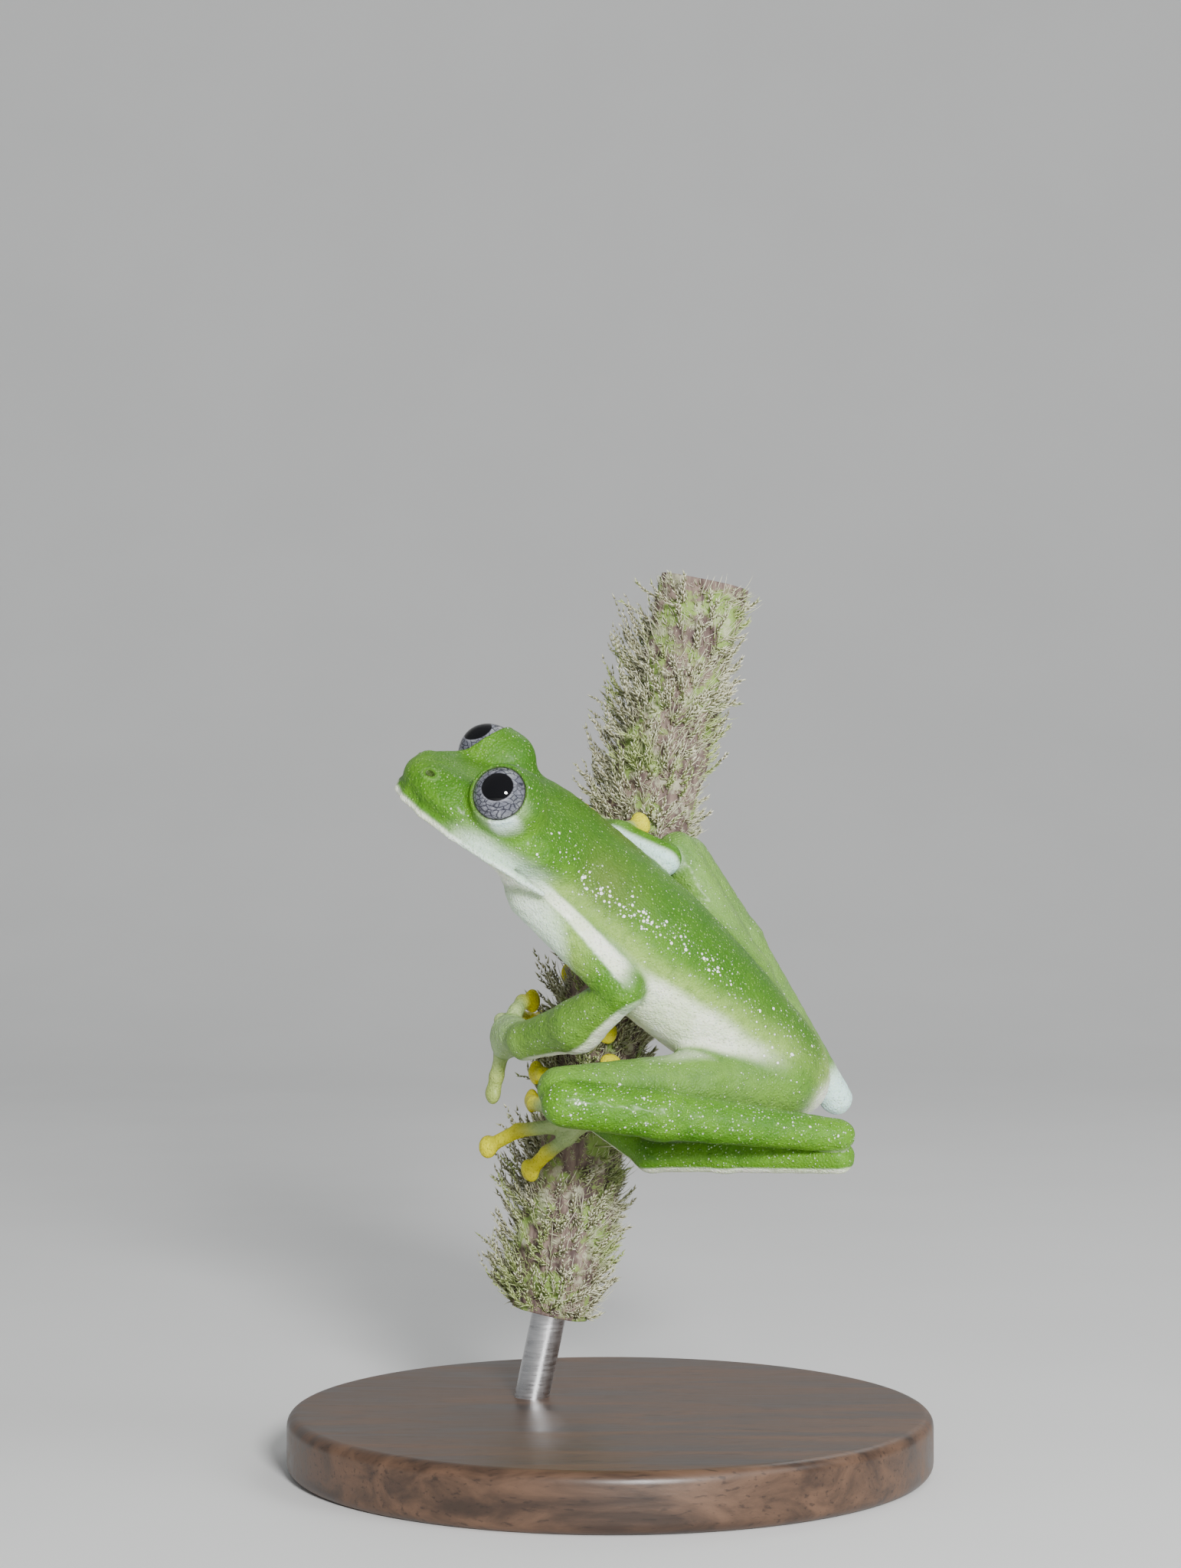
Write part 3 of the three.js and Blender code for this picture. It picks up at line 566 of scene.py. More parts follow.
# a bright patch close under each eye
under_eye = np.zeros(len(sv))
for s in (1, -1):
    d = sv - eye_c[s]
    t = d @ eye_axis[s]
    flat_d = d - t[:, None] * eye_axis[s]
    r = np.linalg.norm(flat_d, axis=-1)
    way = HEAD.f * -0.60 + HEAD.l * 0.39 * s - HEAD.u * 0.70
    turn = flat_d @ unit(way - eye_axis[s] * (way @ eye_axis[s])) / np.maximum(r, 1e-6)
    w = math.sqrt(EYE_R ** 2 - OPENS[s] ** 2)
    near_rim = np.exp(-(((r - w - 0.18) / 0.30) ** 2)) * (t > -1.0)
    under_eye = np.maximum(under_eye, W["head"] * near_rim * (0.72 * ss(turn, 0.82, 0.99) + 0.28 * ss(turn, 0.0, 0.8)))
white = np.clip(np.maximum(white, under_eye), 0, 1)
near_stripe = np.exp(-(((over + 0.2) / 0.3) ** 4)) * ss(bl[:, 0], -0.5, 1.5) * ss(-bl[:, 0], -9.5, -7.5) * ss(np.abs(bl[:, 1]), 3.0, 3.6)
white = np.maximum(white, near_stripe * (body_w + W["uaL"] + W["uaR"]))
cyan = np.clip(0.9 * far_arm + 0.8 * far_heel + 0.7 * under_eye + 0.35 * W["uaL"] * (1 - near_stripe) + 0.8 * W["head"] * lip_glow + 0.2 * W["paL"], 0, 1)

yellow = is_digit * ss(along, 0.42, 0.74)
grey_digit = is_digit * (np.linalg.norm(sv - np.clip(sv, V(-7.6, -3.3, 18.0), V(-5.7, -0.6, 21.4)), axis=-1) < 0.05) * 1.0
yellow = yellow * (1 - 0.85 * grey_digit)
glow = np.clip(np.maximum(glow, 0.35 * W["faL"] + 0.5 * W["paL"] + 0.3 * (W["thL"] + W["thR"] + W["shR"])), 0, 1)
olive = W["trunk"] * np.exp(-((np.linalg.norm(bq - V(4.6, 2.9, 2.0), axis=-1) / 2.1) ** 2))
# painted glints on the warts, white dots that stand in for highlights: large ones in the band, small ones round it, on
# the rump, the legs and the cheek
clump = ss(smooth_noise(sv, 8, 2.6), -0.75, 0.45)
bw = np.interp(bl[:, 0], (-9, -4, 4, 8.5), (0.8, 0.42, 0.42, 0.8))
amp = np.interp(bl[:, 0], (-9, -5, -3.4, -2.2, 4.2, 5.6, 9), (0.08, 0.12, 0.3, 1.3, 1.3, 0.5, 0.22))
spark = body_w * np.exp(-((band_d / bw) ** 2)) * amp * (0.55 + 0.45 * clump)
rump = W["trunk"] * ss(-bl[:, 0], 5.0, 8.5)
shin_side = ss(limb_side(shinL, heelL, V(0, -0.9, 0.45)), 0.0, 0.7)
shin_t = (sv - shinL) @ (heelL - shinL) / ((heelL - shinL) @ (heelL - shinL))
spark = np.clip(np.maximum.reduce([spark, 0.10 * rump, W["shL"] * shin_side * (0.02 + 0.10 * ss(-shin_t, -0.45, -0.05)) * clump]), 0, 1)
cheek = W["head"] * np.exp(-(((hl[:, 2] - 0.85) / 0.55) ** 2)) * ss(-hl[:, 0], 1.8, 3.6)
glint = np.maximum.reduce([
    body_w * 0.75 * np.exp(-((band_d / 1.3) ** 2)) * ss(-bl[:, 0], -9.5, -6.0), 0.7 * rump, 0.85 * cheek,
    W["shL"] * shin_side * (0.45 + 0.55 * clump), W["taL"] * 0.6 * (0.3 + 0.7 * clump), W["thL"] * 0.45 * clump, W["uaL"] * 0.55 * clump,
    W["faL"] * 0.35, W["paL"] * 0.4, W["thR"] * 0.4 * clump, W["shR"] * 0.4 * clump, 0.16 * body_w * (1 - belly_t)])
glint = np.clip(glint, 0, 1)
# painted shade: how deep each point sits in a hollow between parts, used to darken the colour there
fold = np.clip((creature(sv + normal * 0.35) - 0.35) / -0.2, 0, 1)  # hollows between parts

# low warts, raised from the skin itself
bumps = smooth_noise(sv, 21, 0.55) * 0.012
skin = mesh_object("skin", sv + normal * (bumps * (1 - is_digit) * (1 - 0.6 * W["head"]))[:, None], sf)
for n, v in (("white", white), ("yellow", yellow), ("flank", glow), ("spark", spark), ("glint", glint), ("fold", fold), ("digit", is_digit),
             ("olive", olive), ("cyan", cyan), ("dorsal", body_w * ss(nb[:, 2], 0.45, 0.95))):
    attribute(skin, n, v)
lidw = np.zeros(len(sv))
nostril_shade_and_light = np.zeros(len(sv))
for s in (1, -1):
    d = sv - eye_c[s]
    t = d @ eye_axis[s]
    r = np.sqrt(np.maximum((d * d).sum(-1) - t * t, 0))
    w = math.sqrt(EYE_R ** 2 - OPENS[s] ** 2)
    lidw = np.maximum(lidw, np.exp(-(((r - w) / 0.05) ** 2)) * (t > 0))
    # the nostril mask: painted shade in the pit, and a painted highlight on the ring round it
    away = pit_reach(sv, s)
    m = away < 4
    nostril_shade_and_light[m] = np.exp(-((away[m] / 1.15) ** 4)) - 0.16 * np.exp(-(((away[m] - 1.8) / 0.5) ** 2))
attribute(skin, "lid", lidw)
attribute(skin, "nostril", nostril_shade_and_light)


# ------------------------------------------------------------------ node materials
class Nodes:
    """Short calls for a node material. Scales are in 1/m, because positions are in metres."""

    def __init__(self, name):
        self.m = bpy.data.materials.new(name)
        self.m.use_nodes = True
        self.t = self.m.node_tree
        self.bsdf = next(n for n in self.t.nodes if n.type == "BSDF_PRINCIPLED")
        self.geo = self.t.nodes.new("ShaderNodeTexCoord")

    def new(self, kind, **props):
        n = self.t.nodes.new(kind)
        for k, v in props.items():
            setattr(n, k, v)
        return n

    def put(self, socket, v):
        if hasattr(v, "is_output") or isinstance(v, bpy.types.NodeSocket):
            self.t.links.new(v, socket)
        else:
            socket.default_value = v

    @property
    def pos(self):
        return self.geo.outputs["Object"]

    def attr(self, name):
        n = self.new("ShaderNodeAttribute", attribute_name=name)
        return n.outputs["Fac"]

    def noise(self, scale, detail=3, rough=0.5, vec=None, distortion=0):
        n = self.new("ShaderNodeTexNoise")
        self.put(n.inputs["Vector"], vec or self.pos)
        n.inputs["Scale"].default_value = scale
        n.inputs["Detail"].default_value = detail
        n.inputs["Roughness"].default_value = rough
        n.inputs["Distortion"].default_value = distortion
        return n.outputs["Fac"]

    def voronoi(self, scale, feature="F1", rand=1.0, vec=None):
        n = self.new("ShaderNodeTexVoronoi", feature=feature)
        self.put(n.inputs["Vector"], vec or self.pos)
        n.inputs["Scale"].default_value = scale
        n.inputs["Randomness"].default_value = rand
        return n

    def math(self, op, a, b=0.0, clamp=False):
        n = self.new("ShaderNodeMath", operation=op, use_clamp=clamp)
        self.put(n.inputs[0], a)
        self.put(n.inputs[1], b)
        return n.outputs[0]

    def ramp(self, v, lo, hi, a=0.0, b=1.0, smooth=True):
        n = self.new("ShaderNodeMapRange", interpolation_type="SMOOTHSTEP" if smooth else "LINEAR")
        self.put(n.inputs["Value"], v)
        for k, x in (("From Min", lo), ("From Max", hi), ("To Min", a), ("To Max", b)):
            self.put(n.inputs[k], x)
        return n.outputs["Result"]

    def mix(self, fac, a, b, mode="MIX"):
        n = self.new("ShaderNodeMix", data_type="RGBA", blend_type=mode)
        self.put(n.inputs[0], fac)
        self.put(n.inputs[6], a if not isinstance(a, tuple) else (*a, 1)[:4])
        self.put(n.inputs[7], b if not isinstance(b, tuple) else (*b, 1)[:4])
        return n.outputs[2]

    def bump(self, height, strength, distance, normal=None):
        n = self.new("ShaderNodeBump")
        n.inputs["Strength"].default_value = strength
        n.inputs["Distance"].default_value = distance
        self.put(n.inputs["Height"], height)
        if normal is not None:
            self.put(n.inputs["Normal"], normal)
        return n.outputs["Normal"]

    def set(self, **kw):
        for k, v in kw.items():
            self.put(self.bsdf.inputs[k.replace("_", " ")], v)


def granule_and_glint_dots(nt, scale, size_lo, size_hi, soft, density):
    """Round dots, one to a cell: each cell has its own size, and density (0..1) says how many cells have one."""
    v = nt.voronoi(scale, rand=0.9)
    n = nt.new("ShaderNodeSeparateColor")
    nt.put(n.inputs[0], v.outputs["Color"])
    size = nt.ramp(n.outputs[0], 0, 1, size_lo, size_hi, smooth=False)
    has = nt.math("LESS_THAN", n.outputs[1], density)
    d = nt.math("SUBTRACT", size, v.outputs["Distance"])
    dot = nt.ramp(d, 0.0, soft)
    return nt.math("MULTIPLY", dot, has)


# skin
S = Nodes("skin")
white_a, yellow_a, flank_a, spark_a = S.attr("white"), S.attr("yellow"), S.attr("flank"), S.attr("spark")
hollow_shade_a, lid_a, nostril_shade_and_light_a, dorsal_a, digit_a = S.attr("fold"), S.attr("lid"), S.attr("nostril"), S.attr("dorsal"), S.attr("digit")
glint_a, olive_a, cyan_a = S.attr("glint"), S.attr("olive"), S.attr("cyan")
big = S.noise(260, 4, 0.55)
green = S.mix(S.ramp(big, 0.35, 0.65), (0.052, 0.175, 0.006), (0.105, 0.265, 0.012))
green = S.mix(S.math("MULTIPLY", dorsal_a, 0.6), green, (0.036, 0.130, 0.005))
green = S.mix(S.math("MULTIPLY", olive_a, 0.6), green, (0.125, 0.165, 0.028))
green = S.mix(S.ramp(flank_a, 0.0, 1.0, 0.0, 0.85), green, (0.310, 0.470, 0.100))
mottle = S.noise(2600, 3, 0.6)
green = S.mix(S.ramp(mottle, 0.45, 0.75, 0, 0.35), green, (0.030, 0.110, 0.008))
# fine granules all over the green: raised in the bump, and their paler tops are a painted highlight
fine = granule_and_glint_dots(S, 6200, 0.22, 0.42, 0.16, 0.8)
green = S.mix(S.math("MULTIPLY", fine, 0.46), green, (0.38, 0.64, 0.16))
pale = S.mix(S.ramp(S.noise(700, 3), 0.35, 0.7), (0.74, 0.84, 0.58), (0.92, 0.96, 0.80))
pale = S.mix(cyan_a, pale, (0.56, 0.86, 0.82))
col = S.mix(S.ramp(white_a, 0.04, 0.92), green, pale)
yel = S.mix(S.ramp(S.noise(900, 3), 0.35, 0.7), (0.62, 0.56, 0.004), (0.80, 0.76, 0.012))
dig = S.mix(yellow_a, S.mix(0.6, col, (0.42, 0.52, 0.20)), yel)
col = S.mix(digit_a, col, dig)
# painted highlights in the base colour: small white glints, a few bright green ones, and the large white glints of the
# band; the small and large ones are also raised as warts in the bump below
small = granule_and_glint_dots(S, 6800, 0.20, 0.44, 0.14, S.math("MULTIPLY", glint_a, 0.55))
col = S.mix(S.math("MULTIPLY", small, 0.72), col, (0.80, 0.97, 0.74))
rare_glint_dots = granule_and_glint_dots(S, 1500, 0.10, 0.19, 0.08, S.math("MULTIPLY", glint_a, 0.16))
col = S.mix(S.math("MULTIPLY", rare_glint_dots, 0.55), col, (0.42, 0.86, 0.16))
dots = granule_and_glint_dots(S, 4300, 0.24, 0.47, 0.10, spark_a)
col = S.mix(dots, col, (0.98, 1.0, 0.96))
# painted shade: darker green in the hollows between parts
col = S.mix(S.math("MULTIPLY", hollow_shade_a, 0.12), col, (0.05, 0.12, 0.015))
col = S.mix(S.math("MULTIPLY", lid_a, 0.75), col, (0.05, 0.07, 0.025))
# painted shade: the nostril pit dark; painted highlight: a paler ring round its rim
col = S.mix(S.ramp(nostril_shade_and_light_a, 0.0, 0.9), col, (0.035, 0.03, 0.015))
col = S.mix(S.ramp(nostril_shade_and_light_a, 0.0, -0.4, 0.0, 0.6), col, (0.42, 0.62, 0.24))
S.set(Base_Color=col)
bright = S.math("MAXIMUM", dots, small)
rough = S.ramp(S.noise(1800, 3), 0.3, 0.7, 0.42, 0.56)
rough = S.math("SUBTRACT", rough, S.math("MULTIPLY", bright, 0.2))
S.set(Roughness=rough, IOR=1.36)
S.bsdf.inputs["Specular IOR Level"].default_value = 0.4
h =S.math("ADD", S.math("MULTIPLY", fine, 0.9), S.math("MULTIPLY", bright, 1.5))
h = S.math("ADD", h, S.math("MULTIPLY", S.voronoi(7600, "F1").outputs["Distance"], -0.7))
h = S.math("ADD", h, S.math("MULTIPLY", S.noise(1400, 4, 0.6), 1.2))
S.set(Normal=S.bump(h, 0.8, 0.00008))
S.bsdf.inputs["Subsurface Weight"].default_value = 0.22
S.bsdf.inputs["Subsurface Radius"].default_value = (0.7, 1.0, 0.35)
S.bsdf.inputs["Subsurface Scale"].default_value = 0.0008
S.bsdf.inputs["Coat Weight"].default_value = 0.10
S.bsdf.inputs["Coat Roughness"].default_value = 0.22
skin.data.materials.append(S.m)
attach(skin, "root")
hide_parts(*[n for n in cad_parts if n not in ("eye_left", "eye_right", "perch_stem", "stand_base", "stand_rod")])


# ------------------------------------------------------------------ eyes
def ball(name, centre, axis, up):
    """A finely divided ball whose own +Z is the eye's axis, and whose own +Y is up."""
    nu, nv = ((128, 96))
    th = np.linspace(0, np.pi, nv + 1)[1:-1]
    ph = np.arange(nu) * 2 * np.pi / nu
    v = [[0, 0, 1.0]]
    for t in th:
        v += [[math.sin(t) * math.cos(a), math.sin(t) * math.sin(a), math.cos(t)] for a in ph]
    v.append([0, 0, -1.0])
    v = np.array(v)
    v[:, 2] += 0.035 * np.exp(-((v[:, 0] ** 2 + v[:, 1] ** 2) / 0.28)) * (v[:, 2] > 0)  # the clear front bulges
    f = []
    last = len(v) - 1
    for j in range(nu):
        k = (j + 1) % nu
        f.append([0, 1 + j, 1 + k, 1 + k])
        for i in range(len(th) - 1):
            a, b = 1 + i * nu, 1 + (i + 1) * nu
            f.append([a + j, b + j, b + k, a + k])
        e = 1 + (len(th) - 1) * nu
        f.append([e + j, last, last, e + k])
    me = bpy.data.meshes.new(name)
    me.from_pydata((v * EYE_R * MM).tolist(), [], [list(dict.fromkeys(q)) for q in f])
    me.polygons.foreach_set("use_smooth", np.ones(len(me.polygons), bool))
    ob = bpy.data.objects.new(name, me)
    bpy.context.collection.objects.link(ob)
    z = unit(axis)
    x = unit(np.cross(up, z))
    y = np.cross(z, x)
    R = Matrix(((x[0], y[0], z[0]), (x[1], y[1], z[1]), (x[2], y[2], z[2]))).to_4x4()
    ob.matrix_world = Matrix.Translation(Vector(centre * MM)) @ R
    return ob


E = Nodes("eye")
sep = E.new("ShaderNodeSeparateXYZ")
E.put(sep.inputs[0], E.pos)
ex = E.math("MULTIPLY", sep.outputs[0], 1000.0)
ey = E.math("MULTIPLY", sep.outputs[1], 1000.0)
ez = E.math("MULTIPLY", sep.outputs[2], 1000.0)
px_ = E.math("SUBTRACT", ex, 0.05)
py_ = E.math("SUBTRACT", ey, 0.19)
pr = E.math("SQRT", E.math("ADD", E.math("POWER", E.math("MULTIPLY", px_, 1 / 0.78), 2.0), E.math("POWER", E.math("MULTIPLY", py_, 1 / 0.72), 2.0)))
rr = E.math("SQRT", E.math("ADD", E.math("POWER", ex, 2.0), E.math("POWER", ey, 2.0)))
# the iris net: cells stretched round the pupil, with wavy dark lines
wave = E.new("ShaderNodeTexNoise")
E.put(wave.inputs["Vector"], E.pos)
wave.inputs["Scale"].default_value = 1500
wave.inputs["Detail"].default_value = 3
shift = E.new("ShaderNodeVectorMath", operation="MULTIPLY_ADD")
E.put(shift.inputs[0], wave.outputs["Color"])
shift.inputs[1].default_value = (0.00034, 0.00034, 0.00034)
E.put(shift.inputs[2], E.pos)
wide = E.new("ShaderNodeMapping")
E.put(wide.inputs["Vector"], shift.outputs[0])
wide.inputs["Scale"].default_value = (0.62, 1.25, 1.0)
net1 = E.voronoi(3300, "DISTANCE_TO_EDGE", vec=wide.outputs[0]).outputs["Distance"]
net2 = E.voronoi(6400, "DISTANCE_TO_EDGE", vec=wide.outputs[0]).outputs["Distance"]
warm = E.noise(1300, 4, 0.6)
base = E.mix(E.ramp(warm, 0.3, 0.7), (0.10, 0.105, 0.13), (0.27, 0.275, 0.32))
base = E.mix(E.ramp(E.noise(700, 2), 0.45, 0.7, 0.0, 0.35), base, (0.26, 0.30, 0.24))
base = E.mix(E.ramp(net2, 0.0, 0.13, 0.6, 0.0), base, (0.06, 0.06, 0.08))
base = E.mix(E.ramp(net1, 0.0, 0.13, 0.95, 0.0), base, (0.018, 0.018, 0.028))
low = E.ramp(ey, 0.3, -0.3)
base = E.mix(E.math("MULTIPLY", E.math("MULTIPLY", E.ramp(pr, 1.16, 1.04), low), 0.3), base, (0.40, 0.40, 0.45))
base = E.mix(E.ramp(pr, 1.05, 0.98), base, (0.003, 0.003, 0.004))
base = E.mix(E.ramp(rr, 1.22, 1.33), base, (0.04, 0.04, 0.035))
base = E.mix(E.ramp(rr, 1.36, 1.42), base, (0.02, 0.018, 0.012))
base = E.mix(E.ramp(ez, 0.2, 0.0), base, (0.02, 0.018, 0.012))
E.set(Base_Color=base, Roughness=0.5, IOR=1.38)
E.bsdf.inputs["Specular IOR Level"].default_value = 0.0
E.bsdf.inputs["Coat Weight"].default_value = 1.0
E.bsdf.inputs["Coat Roughness"].default_value = 0.03
E.bsdf.inputs["Coat IOR"].default_value = 1.34
for s, n, up in ((1, "eye_left", HEAD.f * 0.44 - HEAD.l * 0.38 + HEAD.u * 0.82), (-1, "eye_right", np.cross(eye_axis[-1], V(0, -1, 0)))):
    # the far ball is turned a little further to the side within its lids
    ob = ball("eyeball_" + n[4:], eye_c[s], eye_axis[s] if s > 0 else unit(eye_axis[s] + V(0, -0.55, 0)), up)
    ob.data.materials.append(E.m)
    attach(ob, "root")
    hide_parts(n)

# ------------------------------------------------------------------ the stem and its moss
rng = np.random.default_rng(11)


def stem_radius(z, a):
    return (STEM_R - 0.12 + 0.07 * np.sin(3 * a + z * 0.5) + 0.06 * np.sin(5 * a - z * 0.8)
            + 0.09 * np.sin(z * 0.55 + 1.0) + 0.05 * np.sin(z * 2.3 + 2 * a))


def stem_point(z, a, extra=0.0):
    r = stem_radius(z, a) + extra
    c = stem_axis(z)
    return np.stack([c[..., 0] + r * np.cos(a) * STEM_DIR[2], c[..., 1] + r * np.sin(a), c[..., 2] - r * np.cos(a) * STEM_DIR[0]], -1)


nz, na = ((420, 140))
zz = np.linspace(STEM_FOOT[2], STEM_HEAD[2], nz)
aa = np.arange(na) * 2 * np.pi / na
Z, A = np.meshgrid(zz, aa, indexing="ij")
P = stem_point(Z, A)
flat = P.reshape(-1, 3)
Nn = unit
core = flat.copy()
lump = smooth_noise(core, 31, 1.6) * 0.05 + smooth_noise(core, 32, 0.7) * 0.035
radial = core - stem_axis(core[:, 2])
radial /= np.linalg.norm(radial, axis=-1, keepdims=True)
core += radial * lump[:, None]
quads = []
for i in range(nz - 1):
    j = np.arange(na)
    quads.append(np.stack([i * na + j, i * na + (j + 1) % na, (i + 1) * na + (j + 1) % na, (i + 1) * na + j], 1))
quads = np.concatenate(quads)
# the cut ends, a little cupped, as rings that close on the middle
ends = []
for row, z, sgn in ((0, STEM_FOOT[2], -1), (nz - 1, STEM_HEAD[2], 1)):
    ring = np.arange(na) + row * na
    c = stem_axis(z)
    for s in (0.94, 0.7, 0.45, 0.2, 0.0):
        base_i = len(core)
        if s > 0:
            core = np.concatenate([core, c + (core[row * na:(row + 1) * na] - c) * s - STEM_DIR * 0.05 * sgn * (1 - s)])
            new = np.arange(na) + base_i
        else:
            core = np.concatenate([core, (c - STEM_DIR * 0.05 * sgn)[None]])
            new = np.full(na, base_i)
        q = np.stack([ring, np.roll(ring, -1), np.roll(new, -1), new], 1)
        ends.append(q[:, ::-1] if sgn < 0 else q)
        ring = new
me = bpy.data.meshes.new("stem_core")
allq = np.concatenate([quads, *ends])
me.from_pydata((core * MM).tolist(), [], [list(dict.fromkeys(q)) for q in allq.tolist()])
me.polygons.foreach_set("use_smooth", np.ones(len(me.polygons), bool))
stem = bpy.data.objects.new("stem_core", me)
bpy.context.collection.objects.link(stem)
cutm = np.zeros(len(core))
cutm[nz * na:] = 1
attribute(stem, "cut", cutm)

B = Nodes("bark")
cut_a = B.attr("cut")
mp = B.new("ShaderNodeMapping")
B.put(mp.inputs["Vector"], B.pos)
mp.inputs["Scale"].default_value = (1, 1, 0.22)
fib = B.noise(2200, 5, 0.6, vec=mp.outputs[0])
bark = B.mix(B.ramp(fib, 0.35, 0.68), (0.075, 0.045, 0.042), (0.26, 0.19, 0.155))
lich = B.noise(420, 5, 0.62)
bark = B.mix(B.ramp(lich, 0.52, 0.60), bark, (0.22, 0.33, 0.07))
bark = B.mix(B.ramp(B.noise(900, 4, 0.6), 0.54, 0.66, 0, 0.75), bark, (0.46, 0.46, 0.32))
woodc = B.mix(B.ramp(B.noise(1500, 3, 0.5), 0.35, 0.65), (0.50, 0.38, 0.22), (0.66, 0.55, 0.36))
B.set(Base_Color=B.mix(cut_a, bark, woodc), Roughness=B.ramp(fib, 0.3, 0.7, 0.7, 0.95))
B.set(Normal=B.bump(B.math("ADD", fib, B.math("MULTIPLY", lich, 0.6)), 0.7, 0.00016))
stem.data.materials.append(B.m)
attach(stem, "root")
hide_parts("perch_stem")


def norm_rows(v):
    return v / np.maximum(np.linalg.norm(v, axis=-1, keepdims=True), 1e-9)


def plumes(count, length, leaves, seed, zlo, zhi, density):
    """Leafy moss shoots: on each curved axis sit short leaves that turn round it. Returns what moss_piece needs."""
    r = np.random.default_rng(seed)
    z, a = r.uniform(zlo, zhi, count * 4), r.uniform(0, 2 * np.pi, count * 4)
    keep = r.random(len(z)) < density(z, a)
    z, a = z[keep][:count], a[keep][:count]
    n = len(z)
    root = stem_point(z, a, -0.1)
    out = root - stem_axis(root[:, 2])
    out = norm_rows(out - (out @ STEM_DIR)[:, None] * STEM_DIR)
    tang = np.cross(np.broadcast_to(STEM_DIR, out.shape), out)
    left = 0.5 - 0.5 * np.cos(a)  # the shoots are longer on the side that the frog's head leans to
    L = (length[0] + (length[1] - length[0]) * r.random(n) ** 1.3) * (0.5 + 0.5 * left)
    d = norm_rows(out + STEM_DIR * r.normal(0.25, 0.3, n)[:, None] + tang * r.normal(0, 0.4, n)[:, None])
    bend = STEM_DIR * r.normal(1.0, 0.35, n)[:, None] + tang * r.normal(0, 0.35, n)[:, None]
    t = (np.arange(leaves) + 0.6) / leaves
    base = root[:, None] + d[:, None] * (L[:, None] * t)[..., None] + bend[:, None] * (L[:, None] * t * t * 0.5)[..., None]
    tan = norm_rows(d[:, None] + bend[:, None] * t[None, :, None])
    u = norm_rows(np.cross(tan, (tang + out * 0.3)[:, None]))
    v = np.cross(tan, u)
    turn = (np.arange(leaves) * 2.4)[None] + r.uniform(0, 6.28, n)[:, None]
    away = u * np.cos(turn)[..., None] + v * np.sin(turn)[..., None]
    ld = norm_rows(tan * 0.93 + away * 0.42).reshape(-1, 3)
    ll = ((0.46 - 0.16 * t)[None] * r.uniform(0.7, 1.15, (n, leaves))).ravel()
    lb = (tan * 0.45).reshape(-1, 3)
    root_l, side = base.reshape(-1, 3), norm_rows(np.cross(ld, away.reshape(-1, 3)))
    rad = r.uniform(0.045, 0.07, n * leaves)
    ts = np.linspace(0, 1, 3)
    rings = []
    for s_ in ts:
        c = root_l + ld * (ll * s_)[:, None] + lb * (ll * s_ * s_ * 0.5)[:, None]
        tn = norm_rows(ld + lb * s_)
        uu = norm_rows(np.cross(tn, side))
        vv = np.cross(tn, uu)
        if s_ < 1:
            for k3 in range(3):
                g3 = 2 * np.pi * k3 / 3
                rings.append(c + (uu * math.cos(g3) + vv * math.sin(g3)) * (rad * (1 - 0.45 * s_))[:, None])
        else:
            rings.append(c)
    per = 7
    verts = np.stack(rings, 1).reshape(-1, 3)
    one = []
    for k3 in range(3):
        k4 = (k3 + 1) % 3
        one += [[k3, k4, 3 + k4], [k3, 3 + k4, 3 + k3], [3 + k3, 3 + k4, 6]]
    one.append([0, 2, 1])
    N_ = n * leaves
    faces = (np.array(one)[None] + (np.arange(N_) * per)[:, None, None]).reshape(-1, 3)
    return verts, faces, per, N_, np.repeat(z, leaves), np.repeat(a, leaves), ts, r


